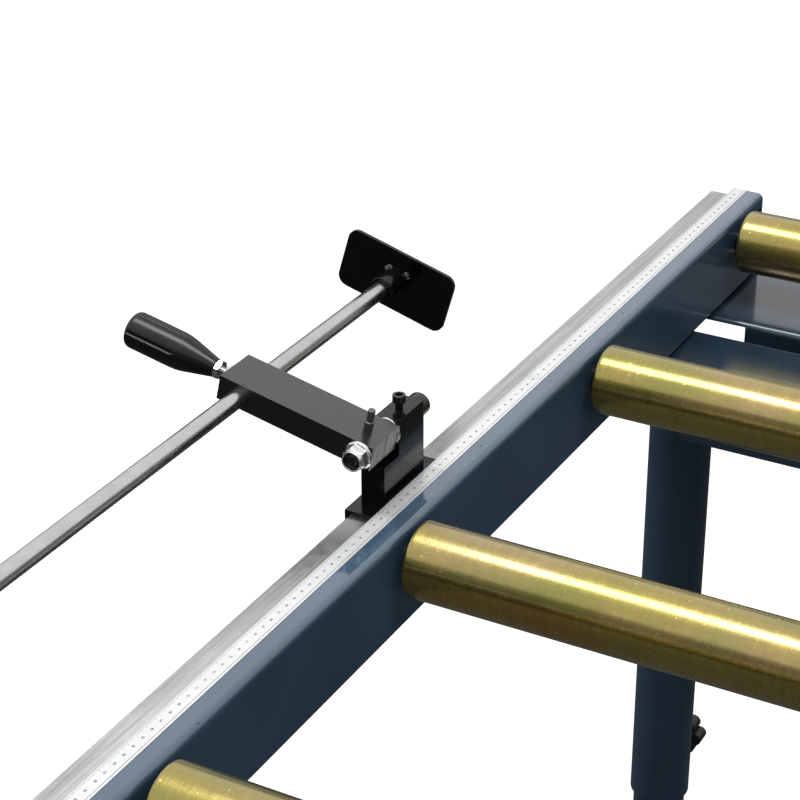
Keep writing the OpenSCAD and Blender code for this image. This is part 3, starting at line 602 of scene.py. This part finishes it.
white_zinc = bright_metal("white_zinc", (0.80, 0.80, 0.81), 0.20)
yellow_zinc = zinc_skin("yellow_zinc")
black_oxide = moulded("black_oxide", (0.009, 0.009, 0.009), 0.24, specular=0.6)
lock_ring = moulded("lock_ring", (0.012, 0.012, 0.012), 0.35)
grip_plastic = moulded("grip_plastic", (0.007, 0.007, 0.008), 0.25, specular=0.38,
                       grain_scale=600.0, depth=0.006)
knob_plastic = moulded("knob_plastic", (0.018, 0.018, 0.020), 0.38)


def rule_enamel_material():
    """Satin white scale on a steel strip: a third of its light is mirrored, the rest is white.
    Faint scuffs, a little yellowing and a few dark grains."""
    material, n = new_material("rule_enamel")
    at = n.on_object()
    scuff = place_group(n, GRAIN, at, {"Stretch": (5.0, 0.3, 1.0), "Scale": 260.0})
    cloud = place_group(n, MOTTLE, at, {"Scale": 22.0})
    dirt = place_group(n, SPECKS, at, {"Scale": 330.0, "Share": 0.05, "Size": 0.22})
    base = n.mix(cloud["Value"], (0.78, 0.79, 0.79), (0.83, 0.83, 0.82))
    base = n.mix(n.spread(scuff["Value"], 0.35, 0.9, 0.0, 0.25), base, (0.60, 0.61, 0.62))
    base = n.mix(n.math("MULTIPLY", dirt["Mask"], 0.4), base, (0.35, 0.35, 0.35))
    relief = bump(n, scuff["Value"], 0.004 * MM)
    gloss = n.spread(cloud["Fine"], 0, 1, 0.26, 0.36)
    surface(n, {"Specular IOR Level": 0.3, "Metallic": 0.35},
            {"Base Color": base, "Normal": relief, "Roughness": gloss})
    return material


rule_enamel = rule_enamel_material()
rule_print = moulded("rule_print", (0.05, 0.05, 0.052), 0.5)


def finish_nodes(material, *names):
    """The material goes into every slot of the named CAD nodes."""
    for name in names:
        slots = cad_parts[name].data.materials
        if len(slots) == 0:
            slots.append(material)
        for i in range(len(slots)):
            slots[i] = material


SIDES = [(end, side) for end in ("far", "near") for side in ("left", "right")]
finish_nodes(frame_paint, "rail_left", "rail_right")
finish_nodes(shaded_channel_paint, "channel_far_end", "channel_far_leg", "channel_near_leg", "channel_near_end")
for end, side in SIDES:
    finish_nodes(leg_paint, f"leg_sleeve_{end}_{side}", f"leg_post_{end}_{side}", f"foot_{end}_{side}")
    finish_nodes(knob_plastic, f"leg_knob_{end}_{side}")
finish_nodes(leg_paint, "leg_nuts")
finish_nodes(bar_steel, "guide_bar")
finish_nodes(rule_enamel, "scale_rule")
finish_nodes(axle_steel, "roller_axles")
finish_nodes(bearing_steel, "roller_bearings")
for i in range(1, ROLLER_COUNT + 1):
    finish_nodes(yellow_zinc, f"roller_tube_{i}", f"roller_ends_{i}")
finish_nodes(black_paint, "slide_shoe", "pivot_block", "rod_collar", "stop_plate")
finish_nodes(arm_paint, "stop_arm")
# Painted shade: the axle spacers get the black finish so that the gaps between the roller ends and the rail
# webs read dark.
finish_nodes(black_oxide, "axle_spacers", "guide_bar_screws", "pivot_bolt", "pivot_lock_screw",
             "slide_lock_screw", "arm_stud")
finish_nodes(white_zinc, "pivot_washer", "pivot_nut", "clamp_nut")
finish_nodes(rod_steel, "stop_rod", "clamp_spindle")
finish_nodes(lock_ring, "nut_insert")
finish_nodes(grip_plastic, "clamp_grip")


# Surfaces worked out on grids

SHARP = 40 * DEG


def unit(v):
    """The vector made 1 long."""
    v = np.asarray(v, float)
    return v / np.linalg.norm(v)


def rounded(corners, radius, steps=5, loop=False):
    """A chain of (along, radius) corners, each one replaced by a parabola that leaves the chain
    a radius before the corner and comes back a radius after it, or less on a short side."""
    c = np.asarray(corners, float)
    r = np.broadcast_to(np.asarray(radius, float), len(c))[:, None]
    t = np.linspace(0, 1, steps + 1)[None, :, None]

    def toward(other):
        gap = other - c
        return c + gap * np.minimum(r / np.linalg.norm(gap, axis=1, keepdims=True), 0.48)

    a, b = toward(np.roll(c, 1, 0)), toward(np.roll(c, -1, 0))
    arcs = (1 - t) ** 2 * a[:, None] + 2 * t * (1 - t) * c[:, None] + t ** 2 * b[:, None]
    if loop:
        return arcs.reshape(-1, 2)
    return np.concatenate([c[:1], arcs[1:-1].reshape(-1, 2), c[-1:]])


def turned(origin, axis, outline, angles, shape=None):
    """Rings of a turned shape: the outline's point (s, r) at the angle q lies at
    origin + s axis + r (side cos q + up sin q), where shape(s, r, q) may change r."""
    axis = unit(axis)
    side = unit(np.cross(axis, STRAIGHT_UP if abs(axis[2]) < 0.9 else ACROSS))
    up = np.cross(side, axis)
    s, r = outline[:, :1], outline[:, 1:]
    q = angles[None, :]
    radius = r + 0 * q if shape is None else shape(s, r, q)
    return (np.asarray(origin, float) + (s + 0 * q)[..., None] * axis
            + (radius * np.cos(q))[..., None] * side + (radius * np.sin(q))[..., None] * up)


def skin(rings, loop=False):
    """Points and faces of a closed surface through the rings: with loop the last ring meets the
    first one, and otherwise a fan closes each end about the middle of its ring."""
    count, each = rings.shape[:2]
    step = np.arange(each)
    after = (step + 1) % each
    row = np.arange(count if loop else count - 1)[:, None] * each
    ahead = (row + each) % (count * each)
    quads = np.stack([row + step, row + after, ahead + after, ahead + step], -1).reshape(-1, 4)
    points = rings.reshape(-1, 3)
    if loop:
        return points, [quads]
    first, last = len(points), (count - 1) * each
    points = np.concatenate([points, rings[:1].mean(1), rings[-1:].mean(1)])
    fans = np.concatenate([np.stack([0 * step + first, after, step], 1),
                           np.stack([0 * step + first + 1, last + step, last + after], 1)])
    return points, [quads, fans]


def joined(shapes):
    """Several (points, faces) shapes as one."""
    start, points, faces = 0, [], []
    for more, sets in shapes:
        points.append(more)
        faces += [f + start for f in sets]
        start += len(more)
    return np.concatenate(points), faces


def add_piece(name, shape, body, material, replaces=()):
    """One mesh object. Its faces are turned outwards by the sign of the volume that they close:
    the sum over the triangles of a . (b x c) / 6."""
    points, sets = shape
    volume = 0.0
    for faces in sets:
        for k in range(1, faces.shape[1] - 1):
            a, b, c = points[faces[:, 0]], points[faces[:, k]], points[faces[:, k + 1]]
            volume += np.einsum("ij,ij->i", a, np.cross(b, c)).sum() / 6
    if volume < 0:
        sets = [faces[:, ::-1] for faces in sets]
    mesh = bpy.data.meshes.new(name)
    mesh.from_pydata(points.tolist(), [], [face for faces in sets for face in faces.tolist()])
    mesh.materials.append(material)
    mesh.shade_smooth()
    mesh.set_sharp_from_angle(angle=SHARP)
    piece = bpy.data.objects.new(name, mesh)
    bpy.context.scene.collection.objects.link(piece)
    if replaces:
        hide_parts(*replaces)
    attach(piece, body)
    return piece


def hexagon(flats, q, turn=0.0):
    """Distance to the side of a hexagon in the direction q, with a corner at the angle turn."""
    return flats / 2 / np.cos((q - turn) % (TURN / 6) - TURN / 12)


# Rollers

# Where each roller's seam has come to rest, in radians round its tube from the near side
SEAM_ANGLE = (2.9, 5.1, 0.8, 4.4, 19 * DEG, 13 * DEG, 3.6)
SEAM_REACH = 8 * MM
SEAM_HEIGHT = 0.09 * MM
SEAM_WIDTH = 0.45 * MM
TARNISH_OFF = 2.8 * MM
TARNISH_WIDTH = 1.8 * MM
BROWN_EDGE = 0.6 * MM
BROWN_REACH = 30 * MM
ROLLED_RIM = 3.2 * MM
INNER_RIM = 0.5 * MM


def roller_skin(i):
    """A tube turned about its axis: outline along X with rolled ends, and a weld seam, a low ridge
    r + h exp(-(d / w)^2) at the distance d round the tube from the seam's angle. The attribute seam
    holds the ridge, the tarnish beside it and the browned side below it."""
    place = (BED_X, (i - (ROLLER_COUNT + 1) / 2) * ROLLER_PITCH, AXLE_Z)
    lip, bore = ROLLER_R - 2 * ROLLER_WALL, ROLLER_R - ROLLER_WALL
    corners = [(-ROLLER_HALF, ROLLER_R), (ROLLER_HALF, ROLLER_R), (ROLLER_HALF, lip),
               (ROLLER_HALF - ROLLER_WALL, lip), (ROLLER_HALF - ROLLER_WALL, bore),
               (ROLLER_WALL - ROLLER_HALF, bore), (ROLLER_WALL - ROLLER_HALF, lip), (-ROLLER_HALF, lip)]
    outline = rounded(corners, [ROLLED_RIM] * 2 + [INNER_RIM] * 6, 7, loop=True)
    seam = SEAM_ANGLE[i - 1]
    near = np.arange(-24, 25) / 24 * SEAM_REACH / ROLLER_R
    wide = np.linspace(near[-1], TURN + near[0], 170)[1:-1]
    q = seam + np.concatenate([near, wide])
    d = ((q - seam + TURN / 2) % TURN - TURN / 2) * ROLLER_R
    ridge = np.exp(-(d / SEAM_WIDTH) ** 2)
    tarnish = np.exp(-((d + TARNISH_OFF) / TARNISH_WIDTH) ** 2)

    def with_seam(s, r, q):
        outside = r > bore + 1 * MM
        return r + SEAM_HEIGHT * ridge * outside

    shape = skin(turned(place, (1, 0, 0), outline, q, with_seam), loop=True)
    piece = add_piece(f"roller_skin_{i}", shape, f"roller_{i}", yellow_zinc,
                      [f"roller_tube_{i}"])
    marks = np.zeros((len(outline), len(q), 4))
    marks[..., 0], marks[..., 1], marks[..., 3] = ridge, tarnish, 1
    marks[..., 2] = np.clip(-d / BROWN_EDGE, 0, 1) * np.exp(-(d / BROWN_REACH) ** 2)
    attribute = piece.data.attributes.new("seam", "FLOAT_COLOR", "POINT")
    attribute.data.foreach_set("color", marks.ravel())


for i in range(1, ROLLER_COUNT + 1):
    roller_skin(i)


# Rule marks

# The seven strokes of a plain digit: its place along and up the digit, and the way that it runs
SEGMENTS = {"a": (0.5, 2, "y"), "b": (1, 1.5, "x"), "c": (1, 0.5, "x"), "d": (0.5, 0, "y"),
            "e": (0, 0.5, "x"), "f": (0, 1.5, "x"), "g": (0.5, 1, "y")}
DIGITS = ["abcdef", "bc", "abged", "abgcd", "fgbc", "afgcd", "afgedc", "abc", "abcdefg", "abcdfg"]
DIGIT_WIDE, DIGIT_STEP, STROKE = 0.72 * MM, 1.05 * MM, 0.26 * MM
NUMBER_OFF = 6.5 * MM
INK = 0.04 * MM
TICK_OFF = 0.6 * MM
TICK_HALF = 0.09 * MM
TICK_LONG, TICK_MIDDLE, TICK_SHORT = 3.0 * MM, 2.2 * MM, 1.3 * MM
LINE_OFF = 2.0 * MM
LINE_HALF = 0.17 * MM


def slabs(middle, half):
    """Thin closed boxes about the given middles, one row of half sizes each."""
    unit_corners = np.array([(x, y, z) for z in (-1, 1) for y in (-1, 1) for x in (-1, 1)], float)
    points = middle[:, None, :] + unit_corners[None] * half[:, None, :]
    sides = np.array([(0, 2, 3, 1), (4, 5, 7, 6), (0, 1, 5, 4), (2, 6, 7, 3), (0, 4, 6, 2), (1, 3, 7, 5)])
    faces = (np.arange(len(middle))[:, None, None] * 8 + sides[None]).reshape(-1, 4)
    return points.reshape(-1, 3), [faces]


def ticks(edge, top):
    """Middles and half sizes of the ticks: one each millimetre, longer at 5 and longest at 10."""
    mm = np.arange(1, int(2 * HALF_LEN / MM))
    reach = np.select([mm % 10 == 0, mm % 5 == 0], [TICK_LONG, TICK_MIDDLE], TICK_SHORT)
    same = np.ones(len(mm))
    middle = np.stack([edge + TICK_OFF + reach / 2, mm * MM - HALF_LEN, top * same], 1)
    return middle, np.stack([reach / 2, TICK_HALF * same, INK / 2 * same], 1)


def numbers(edge, top):
    """Middles and half sizes of the strokes of the centimetres, in plain seven-stroke digits."""
    middle, half = [], []
    long, thin = (DIGIT_WIDE + STROKE) / 2, STROKE / 2
    for cm in range(1, int(200 * HALF_LEN)):
        text = str(cm)
        for k, digit in enumerate(text):
            start = cm * 10 * MM - HALF_LEN + (k - len(text) / 2) * DIGIT_STEP
            for name in DIGITS[int(digit)]:
                across, up, way = SEGMENTS[name]
                middle.append((edge + NUMBER_OFF + (1 - up) * DIGIT_WIDE, start + across * DIGIT_WIDE, top))
                half.append((long, thin, INK / 2) if way == "x" else (thin, long, INK / 2))
    return np.array(middle), np.array(half)


def rule_marks():
    """The scale from its outer edge: ticks, numbers counted from the near end, and one line."""
    edge = BED_X - HALF_OUTER
    top = RAIL_TOP + RULE_THICK
    line = np.array([(edge + RULE_WIDE - LINE_OFF, 0, top)])
    line_half = np.array([(LINE_HALF, HALF_LEN - 1 * MM, INK / 2)])
    middles, halves = zip(ticks(edge, top), numbers(edge, top), (line, line_half))
    add_piece("rule_marks", slabs(np.concatenate(middles), np.concatenate(halves)), "frame",
              rule_print)


rule_marks()


# Length stop

# Corners and rim sizes below are in millimetres: along the axis from its origin, and out from it
ROD_LEN, ROD_R = 600, 7
COLLAR_BORE, COLLAR_R = 7.05, 10.25
BOLT_R, CAP_R = 6, 9
NUT_BORE, NUT_FLATS, NUT_FLANGE_R = 6.02, 17, 11
CLAMP_FLATS, CLAMP_BORE = 13.6, 4.02


def lathe(name, node, body, material, origin, axis, corners, radius, loop=False, count=96,
          shape=None):
    """A turned piece in place of a node, from (along, radius) corners in millimetres."""
    outline = rounded(np.array(corners, float) * MM, np.array(radius) * MM, 5, loop)
    rings = turned(origin, axis, outline, around(count), shape)
    add_piece(name, skin(rings, loop), body, material, [node])


def hex_socket(floor, flats, rim, reach):
    """A round hole made six-sided: past the floor, a point within reach of the axis moves out to
    hexagon(q) r / rim."""
    def shape(s, r, q):
        inside = (s > floor * MM) & (r < reach * MM) & (r > 0)
        return np.where(inside, hexagon(flats * MM, q) * r / (rim * MM), r + 0 * q)
    return shape


def hex_sides(low, high, inner, flats, turn):
    """Flat sides on a turned body from low to high, outside inner: the lesser of r and hexagon(q)."""
    def shape(s, r, q):
        body = (s > low * MM) & (s < high * MM) & (r > inner * MM)
        return np.where(body, np.minimum(hexagon(flats * MM, q, turn * DEG), r), r + 0 * q)
    return shape


def stop_rod():
    """The rod turned about its axis, with a small bevel at each end."""
    corners = [(-ROD_LEN, 0), (-ROD_LEN, ROD_R), (0, ROD_R), (0, 0)]
    lathe("rod_bar", "stop_rod", "rod", rod_steel, ROD_END, ACROSS, corners, 0.9)


def rod_collar():
    """The collar turned about the rod's axis, with rounded rims."""
    corners = [(-25.7, COLLAR_BORE), (-25.7, COLLAR_R), (0.3, COLLAR_R), (0.3, COLLAR_BORE)]
    lathe("plate_collar", "rod_collar", "stop_head", black_paint, ROD_END, ACROSS,
          corners, 0.8, loop=True)


def weld_lump(middle, size, turn):
    """A rough round lump: a sphere of the given size whose radius swells and sinks as
    1 + 0.2 sin 3(q + turn) sin 4p + 0.1 sin 7q, flattened against the plate."""
    p = np.linspace(0, math.pi, 22)[1:-1, None]
    q = around(36)[None, :]
    r = size * (1 + 0.20 * np.sin(3 * (q + turn)) * np.sin(4 * p) + 0.10 * np.sin(7 * q) * np.sin(p))
    return skin(np.stack([middle[0] + r * np.sin(p) * np.cos(q), middle[1] - 0.7 * r * np.cos(p),
                          middle[2] + r * np.sin(p) * np.sin(q)], -1))


WELD_REACH = 10.9 * MM
WELD_SINK = 0.4 * MM
WELDS = ((136, 2.3), (120, 1.8), (27, 2.2), (12, 1.6), (262, 2.4), (278, 1.9))


def plate_welds():
    """Short welds in the corner between the collar and the plate, each at its angle and size."""
    lumps = []
    for angle, size in WELDS:
        a = angle * DEG
        out = (WELD_REACH * math.cos(a), -WELD_SINK, WELD_REACH * math.sin(a))
        lumps.append(weld_lump(ROD_END + out, size * MM, a))
    add_piece("plate_welds", joined(lumps), "stop_head", weld_paint)


def pivot_bolt():
    """Cap screw turned about the pivot, with a six-sided socket in its head and a domed end."""
    corners = [(-59.2, 0), (-58.9, 3.2), (-57.6, 5.4), (-56.2, BOLT_R), (31, BOLT_R), (31, CAP_R),
               (43, CAP_R), (43, 5.2), (37.2, 5.0), (37, 0)]
    radius = [0, 0.8, 0.8, 0.3, 0.1, 0.7, 0.7, 0.2, 0.1, 0]
    lathe("pivot_cap_screw", "pivot_bolt", "carriage", black_oxide, BOLT_AXIS,
          ACROSS, corners, radius, shape=hex_socket(36.9, 10, 5.2, 5.4))


def pivot_nut():
    """Flanged lock nut. From the front: a turned collar, a hexagon whose corners a cone cuts off,
    and a flange that grows like a cone. The section is a loop about the bore."""
    corners = [(-60.3, 6.75), (-60.3, 8.0), (-57.9, 8.05), (-57.5, 8.3), (-56.2, 9.9), (-50.9, 9.9),
               (-50.4, 10.0), (-49.6, NUT_FLANGE_R), (-48.3, NUT_FLANGE_R), (-48.3, NUT_BORE),
               (-57.3, NUT_BORE), (-57.3, 6.75)]
    radius = [0.3, 0.9, 0.2, 0.1, 0.1, 0.1, 0.1, 0.5, 0.4, 0.1, 0.1, 0.1]
    lathe("pivot_lock_nut", "pivot_nut", "carriage", white_zinc, BOLT_AXIS, ACROSS,
          corners, radius, loop=True, count=144, shape=hex_sides(-57.6, -50.6, 7, NUT_FLATS, 40))


def nut_ring():
    """The ring of dark plastic in the nut's collar."""
    corners = [(-59.7, NUT_BORE), (-59.7, 6.73), (-57.35, 6.73), (-57.35, NUT_BORE)]
    lathe("nut_plastic_ring", "nut_insert", "carriage", lock_ring, BOLT_AXIS, ACROSS,
          corners, 0.15, loop=True)


def pivot_washer():
    """A flat turned ring with soft edges."""
    corners = [(-8.7, 6.1), (-8.7, 11), (-7.0, 11), (-7.0, 6.1)]
    lathe("pivot_ring", "pivot_washer", "carriage", white_zinc, BOLT_AXIS, ACROSS,
          corners, 0.3, loop=True)


SET_SCREW_BACK = 11 * MM


def pivot_lock_screw():
    """Cap screw turned about a vertical axis: shank, head with a soft rim and six-sided socket."""
    corners = [(6.3, 0), (6.3, 3), (15.8, 3), (15.8, 5), (21.8, 5), (21.8, 2.77), (18.9, 2.7),
               (18.6, 0)]
    radius = [0, 0.5, 0.1, 0.5, 0.6, 0.2, 0.1, 0]
    lathe("pivot_set_screw", "pivot_lock_screw", "pivot_lock", black_oxide,
          BOLT_AXIS + (0, SET_SCREW_BACK, 0), STRAIGHT_UP, corners, radius,
          shape=hex_socket(18.5, 5.33, 2.77, 2.8))


def arm_stud():
    """A stepped pin turned about the arm's upward line, with a bevelled tip."""
    corners = [(6, 0), (6, 3.5), (16.6, 3.5), (16.7, 2.75), (26.5, 2.75), (26.5, 0)]
    lathe("arm_pin", "arm_stud", "arm", stud_steel,
          ARM_AXIS + 6 * MM * ALONG, UPWARD, corners, [0, 0.2, 0.6, 0.2, 0.6, 0])


THREAD_PITCH = 1.25 * MM
THREAD_CREST = 4 * MM
THREAD_DEPTH = 0.72 * MM


def clamp_spindle():
    """M8 thread: the radius falls from the crest by a wave (0.5 - 0.5 cos)^0.8 of
    s / pitch - q / turn. Inside the grip the rod is plain."""
    s = np.concatenate([np.arange(111.3 * MM, 137 * MM, THREAD_PITCH / 12), [138 * MM, 164.5 * MM]])
    outline = np.stack([s, np.full(len(s), THREAD_CREST)], 1)
    outline = np.concatenate([[(110.8 * MM, 3.1 * MM)], outline, [(165 * MM, 3.5 * MM)]])

    def thread(s, r, q):
        wave = 0.5 - 0.5 * np.cos(TURN * (s / THREAD_PITCH - q / TURN))
        cut = THREAD_DEPTH * wave ** 0.8 * ((s > 111 * MM) & (s < 137 * MM))
        return r - cut * (r > 3.6 * MM)

    rings = turned(ARM_AXIS, ALONG, outline, around(40), thread)
    add_piece("clamp_thread", skin(rings), "clamp_handle", rod_steel, ["clamp_spindle"])


# Each nut's place along the arm and its height in millimetres, and its turn in degrees
CLAMP_NUTS = ((130.43, 4.57, 30), (122.2, 3.2, 0))


def clamp_nuts():
    """Two thin hexagon nuts whose corners a cone cuts off on both sides."""
    shapes = []
    for start, height, turn in CLAMP_NUTS:
        end = start + height
        corners = [(start, CLAMP_BORE), (start, 6.6), (start + 0.75, 7.95), (end - 0.75, 7.95),
                   (end, 6.6), (end, CLAMP_BORE)]
        outline = rounded(np.array(corners) * MM, 0.15 * MM, 4, loop=True)
        sides = hex_sides(start - 1, end + 1, 5, CLAMP_FLATS, turn)
        shapes.append(skin(turned(ARM_AXIS, ALONG, outline, around(120), sides), loop=True))
    add_piece("clamp_hex_nuts", joined(shapes), "clamp_handle", white_zinc, ["clamp_nut"])


GRIP_GROOVES = 5
GROOVE_R = 1.61 * MM
GRIP_R = 14.5 * MM


def clamp_grip():
    """A cone that grows into a cylinder with a round end. At the distance x round the surface from
    a groove's middle line the radius is at most R + g / 4 - sqrt(g^2 - x^2), g the groove's radius,
    and the groove runs in over its own width."""
    corners = [(30, 0), (30, 4.1), (0, 4.1), (0, 7), (30, 14.5), (76, 14.5), (76, 0)]
    head = rounded(np.array(corners) * MM, np.array([0, 0.1, 0.3, 0.9, 7.0, 5.2, 0]) * MM, 9)
    body = np.stack([np.linspace(37.2, 70.6, 26) * MM, np.full(26, GRIP_R)], 1)
    cut = np.argmax((head[:, 0] > 37.1 * MM) & (head[:, 1] > 14.4 * MM))
    outline = np.concatenate([head[:cut], body, head[cut:]])
    per = TURN / GRIP_GROOVES
    half = 1.25 * GROOVE_R / GRIP_R
    q = np.concatenate([np.linspace(-half, half, 25), np.linspace(half, per - half, 14)[1:-1]])
    q = (TURN / 4 + np.arange(GRIP_GROOVES)[:, None] * per + q).ravel()

    def grooved(s, r, q):
        x = ((q - TURN / 4 + per / 2) % per - per / 2) * GRIP_R
        floor = GRIP_R + GROOVE_R / 4 - np.sqrt(np.maximum(GROOVE_R ** 2 - x ** 2, 0))
        run = np.clip((s - 30.5 * MM) / (3 * MM), 0, 1)
        depth = np.maximum(GRIP_R - floor, 0) * run * run * (3 - 2 * run)
        return np.where(r > 5 * MM, np.minimum(r + 0 * q, GRIP_R - depth), r + 0 * q)

    rings = turned(ARM_AXIS + GRIP_START * ALONG, ALONG, outline, q, grooved)
    add_piece("grip_shell", skin(rings), "clamp_handle", grip_plastic, ["clamp_grip"])


for make in (stop_rod, rod_collar, plate_welds, pivot_bolt, pivot_nut, nut_ring, pivot_washer,
             pivot_lock_screw, arm_stud, clamp_spindle, clamp_nuts, clamp_grip):
    make()


# Legs

# Heights and radii in millimetres
SLEEVE_LOW, SLEEVE_HIGH = 241, 711
SLEEVE_BORE, SLEEVE_R = 25.5, 28.5
POST_BORE, POST_R = 22.5, 25


def leg_tubes(end, side):
    """Outer and inner leg tubes turned about the leg's axis, with soft rims."""
    place = (BED_X + (LEG_X if side == "right" else -LEG_X), LEG_Y if end == "far" else -LEG_Y, 0)
    low, high = (c[2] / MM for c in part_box(f"leg_post_{end}_{side}"))
    sleeve = [(SLEEVE_LOW, SLEEVE_BORE), (SLEEVE_LOW, SLEEVE_R), (SLEEVE_HIGH, SLEEVE_R),
              (SLEEVE_HIGH, SLEEVE_BORE)]
    post = [(low, POST_BORE), (low, POST_R), (high, POST_R), (high, POST_BORE)]
    lathe(f"leg_outer_{end}_{side}", f"leg_sleeve_{end}_{side}", "frame", leg_paint,
          place, STRAIGHT_UP, sleeve, 0.5, loop=True)
    lathe(f"leg_inner_{end}_{side}", f"leg_post_{end}_{side}", f"leg_{end}_{side}",
          leg_paint, place, STRAIGHT_UP, post, 0.4, loop=True)


for end, side in SIDES:
    leg_tubes(end, side)


# View settings and finish

bpy.context.scene.view_settings.view_transform = "Standard"
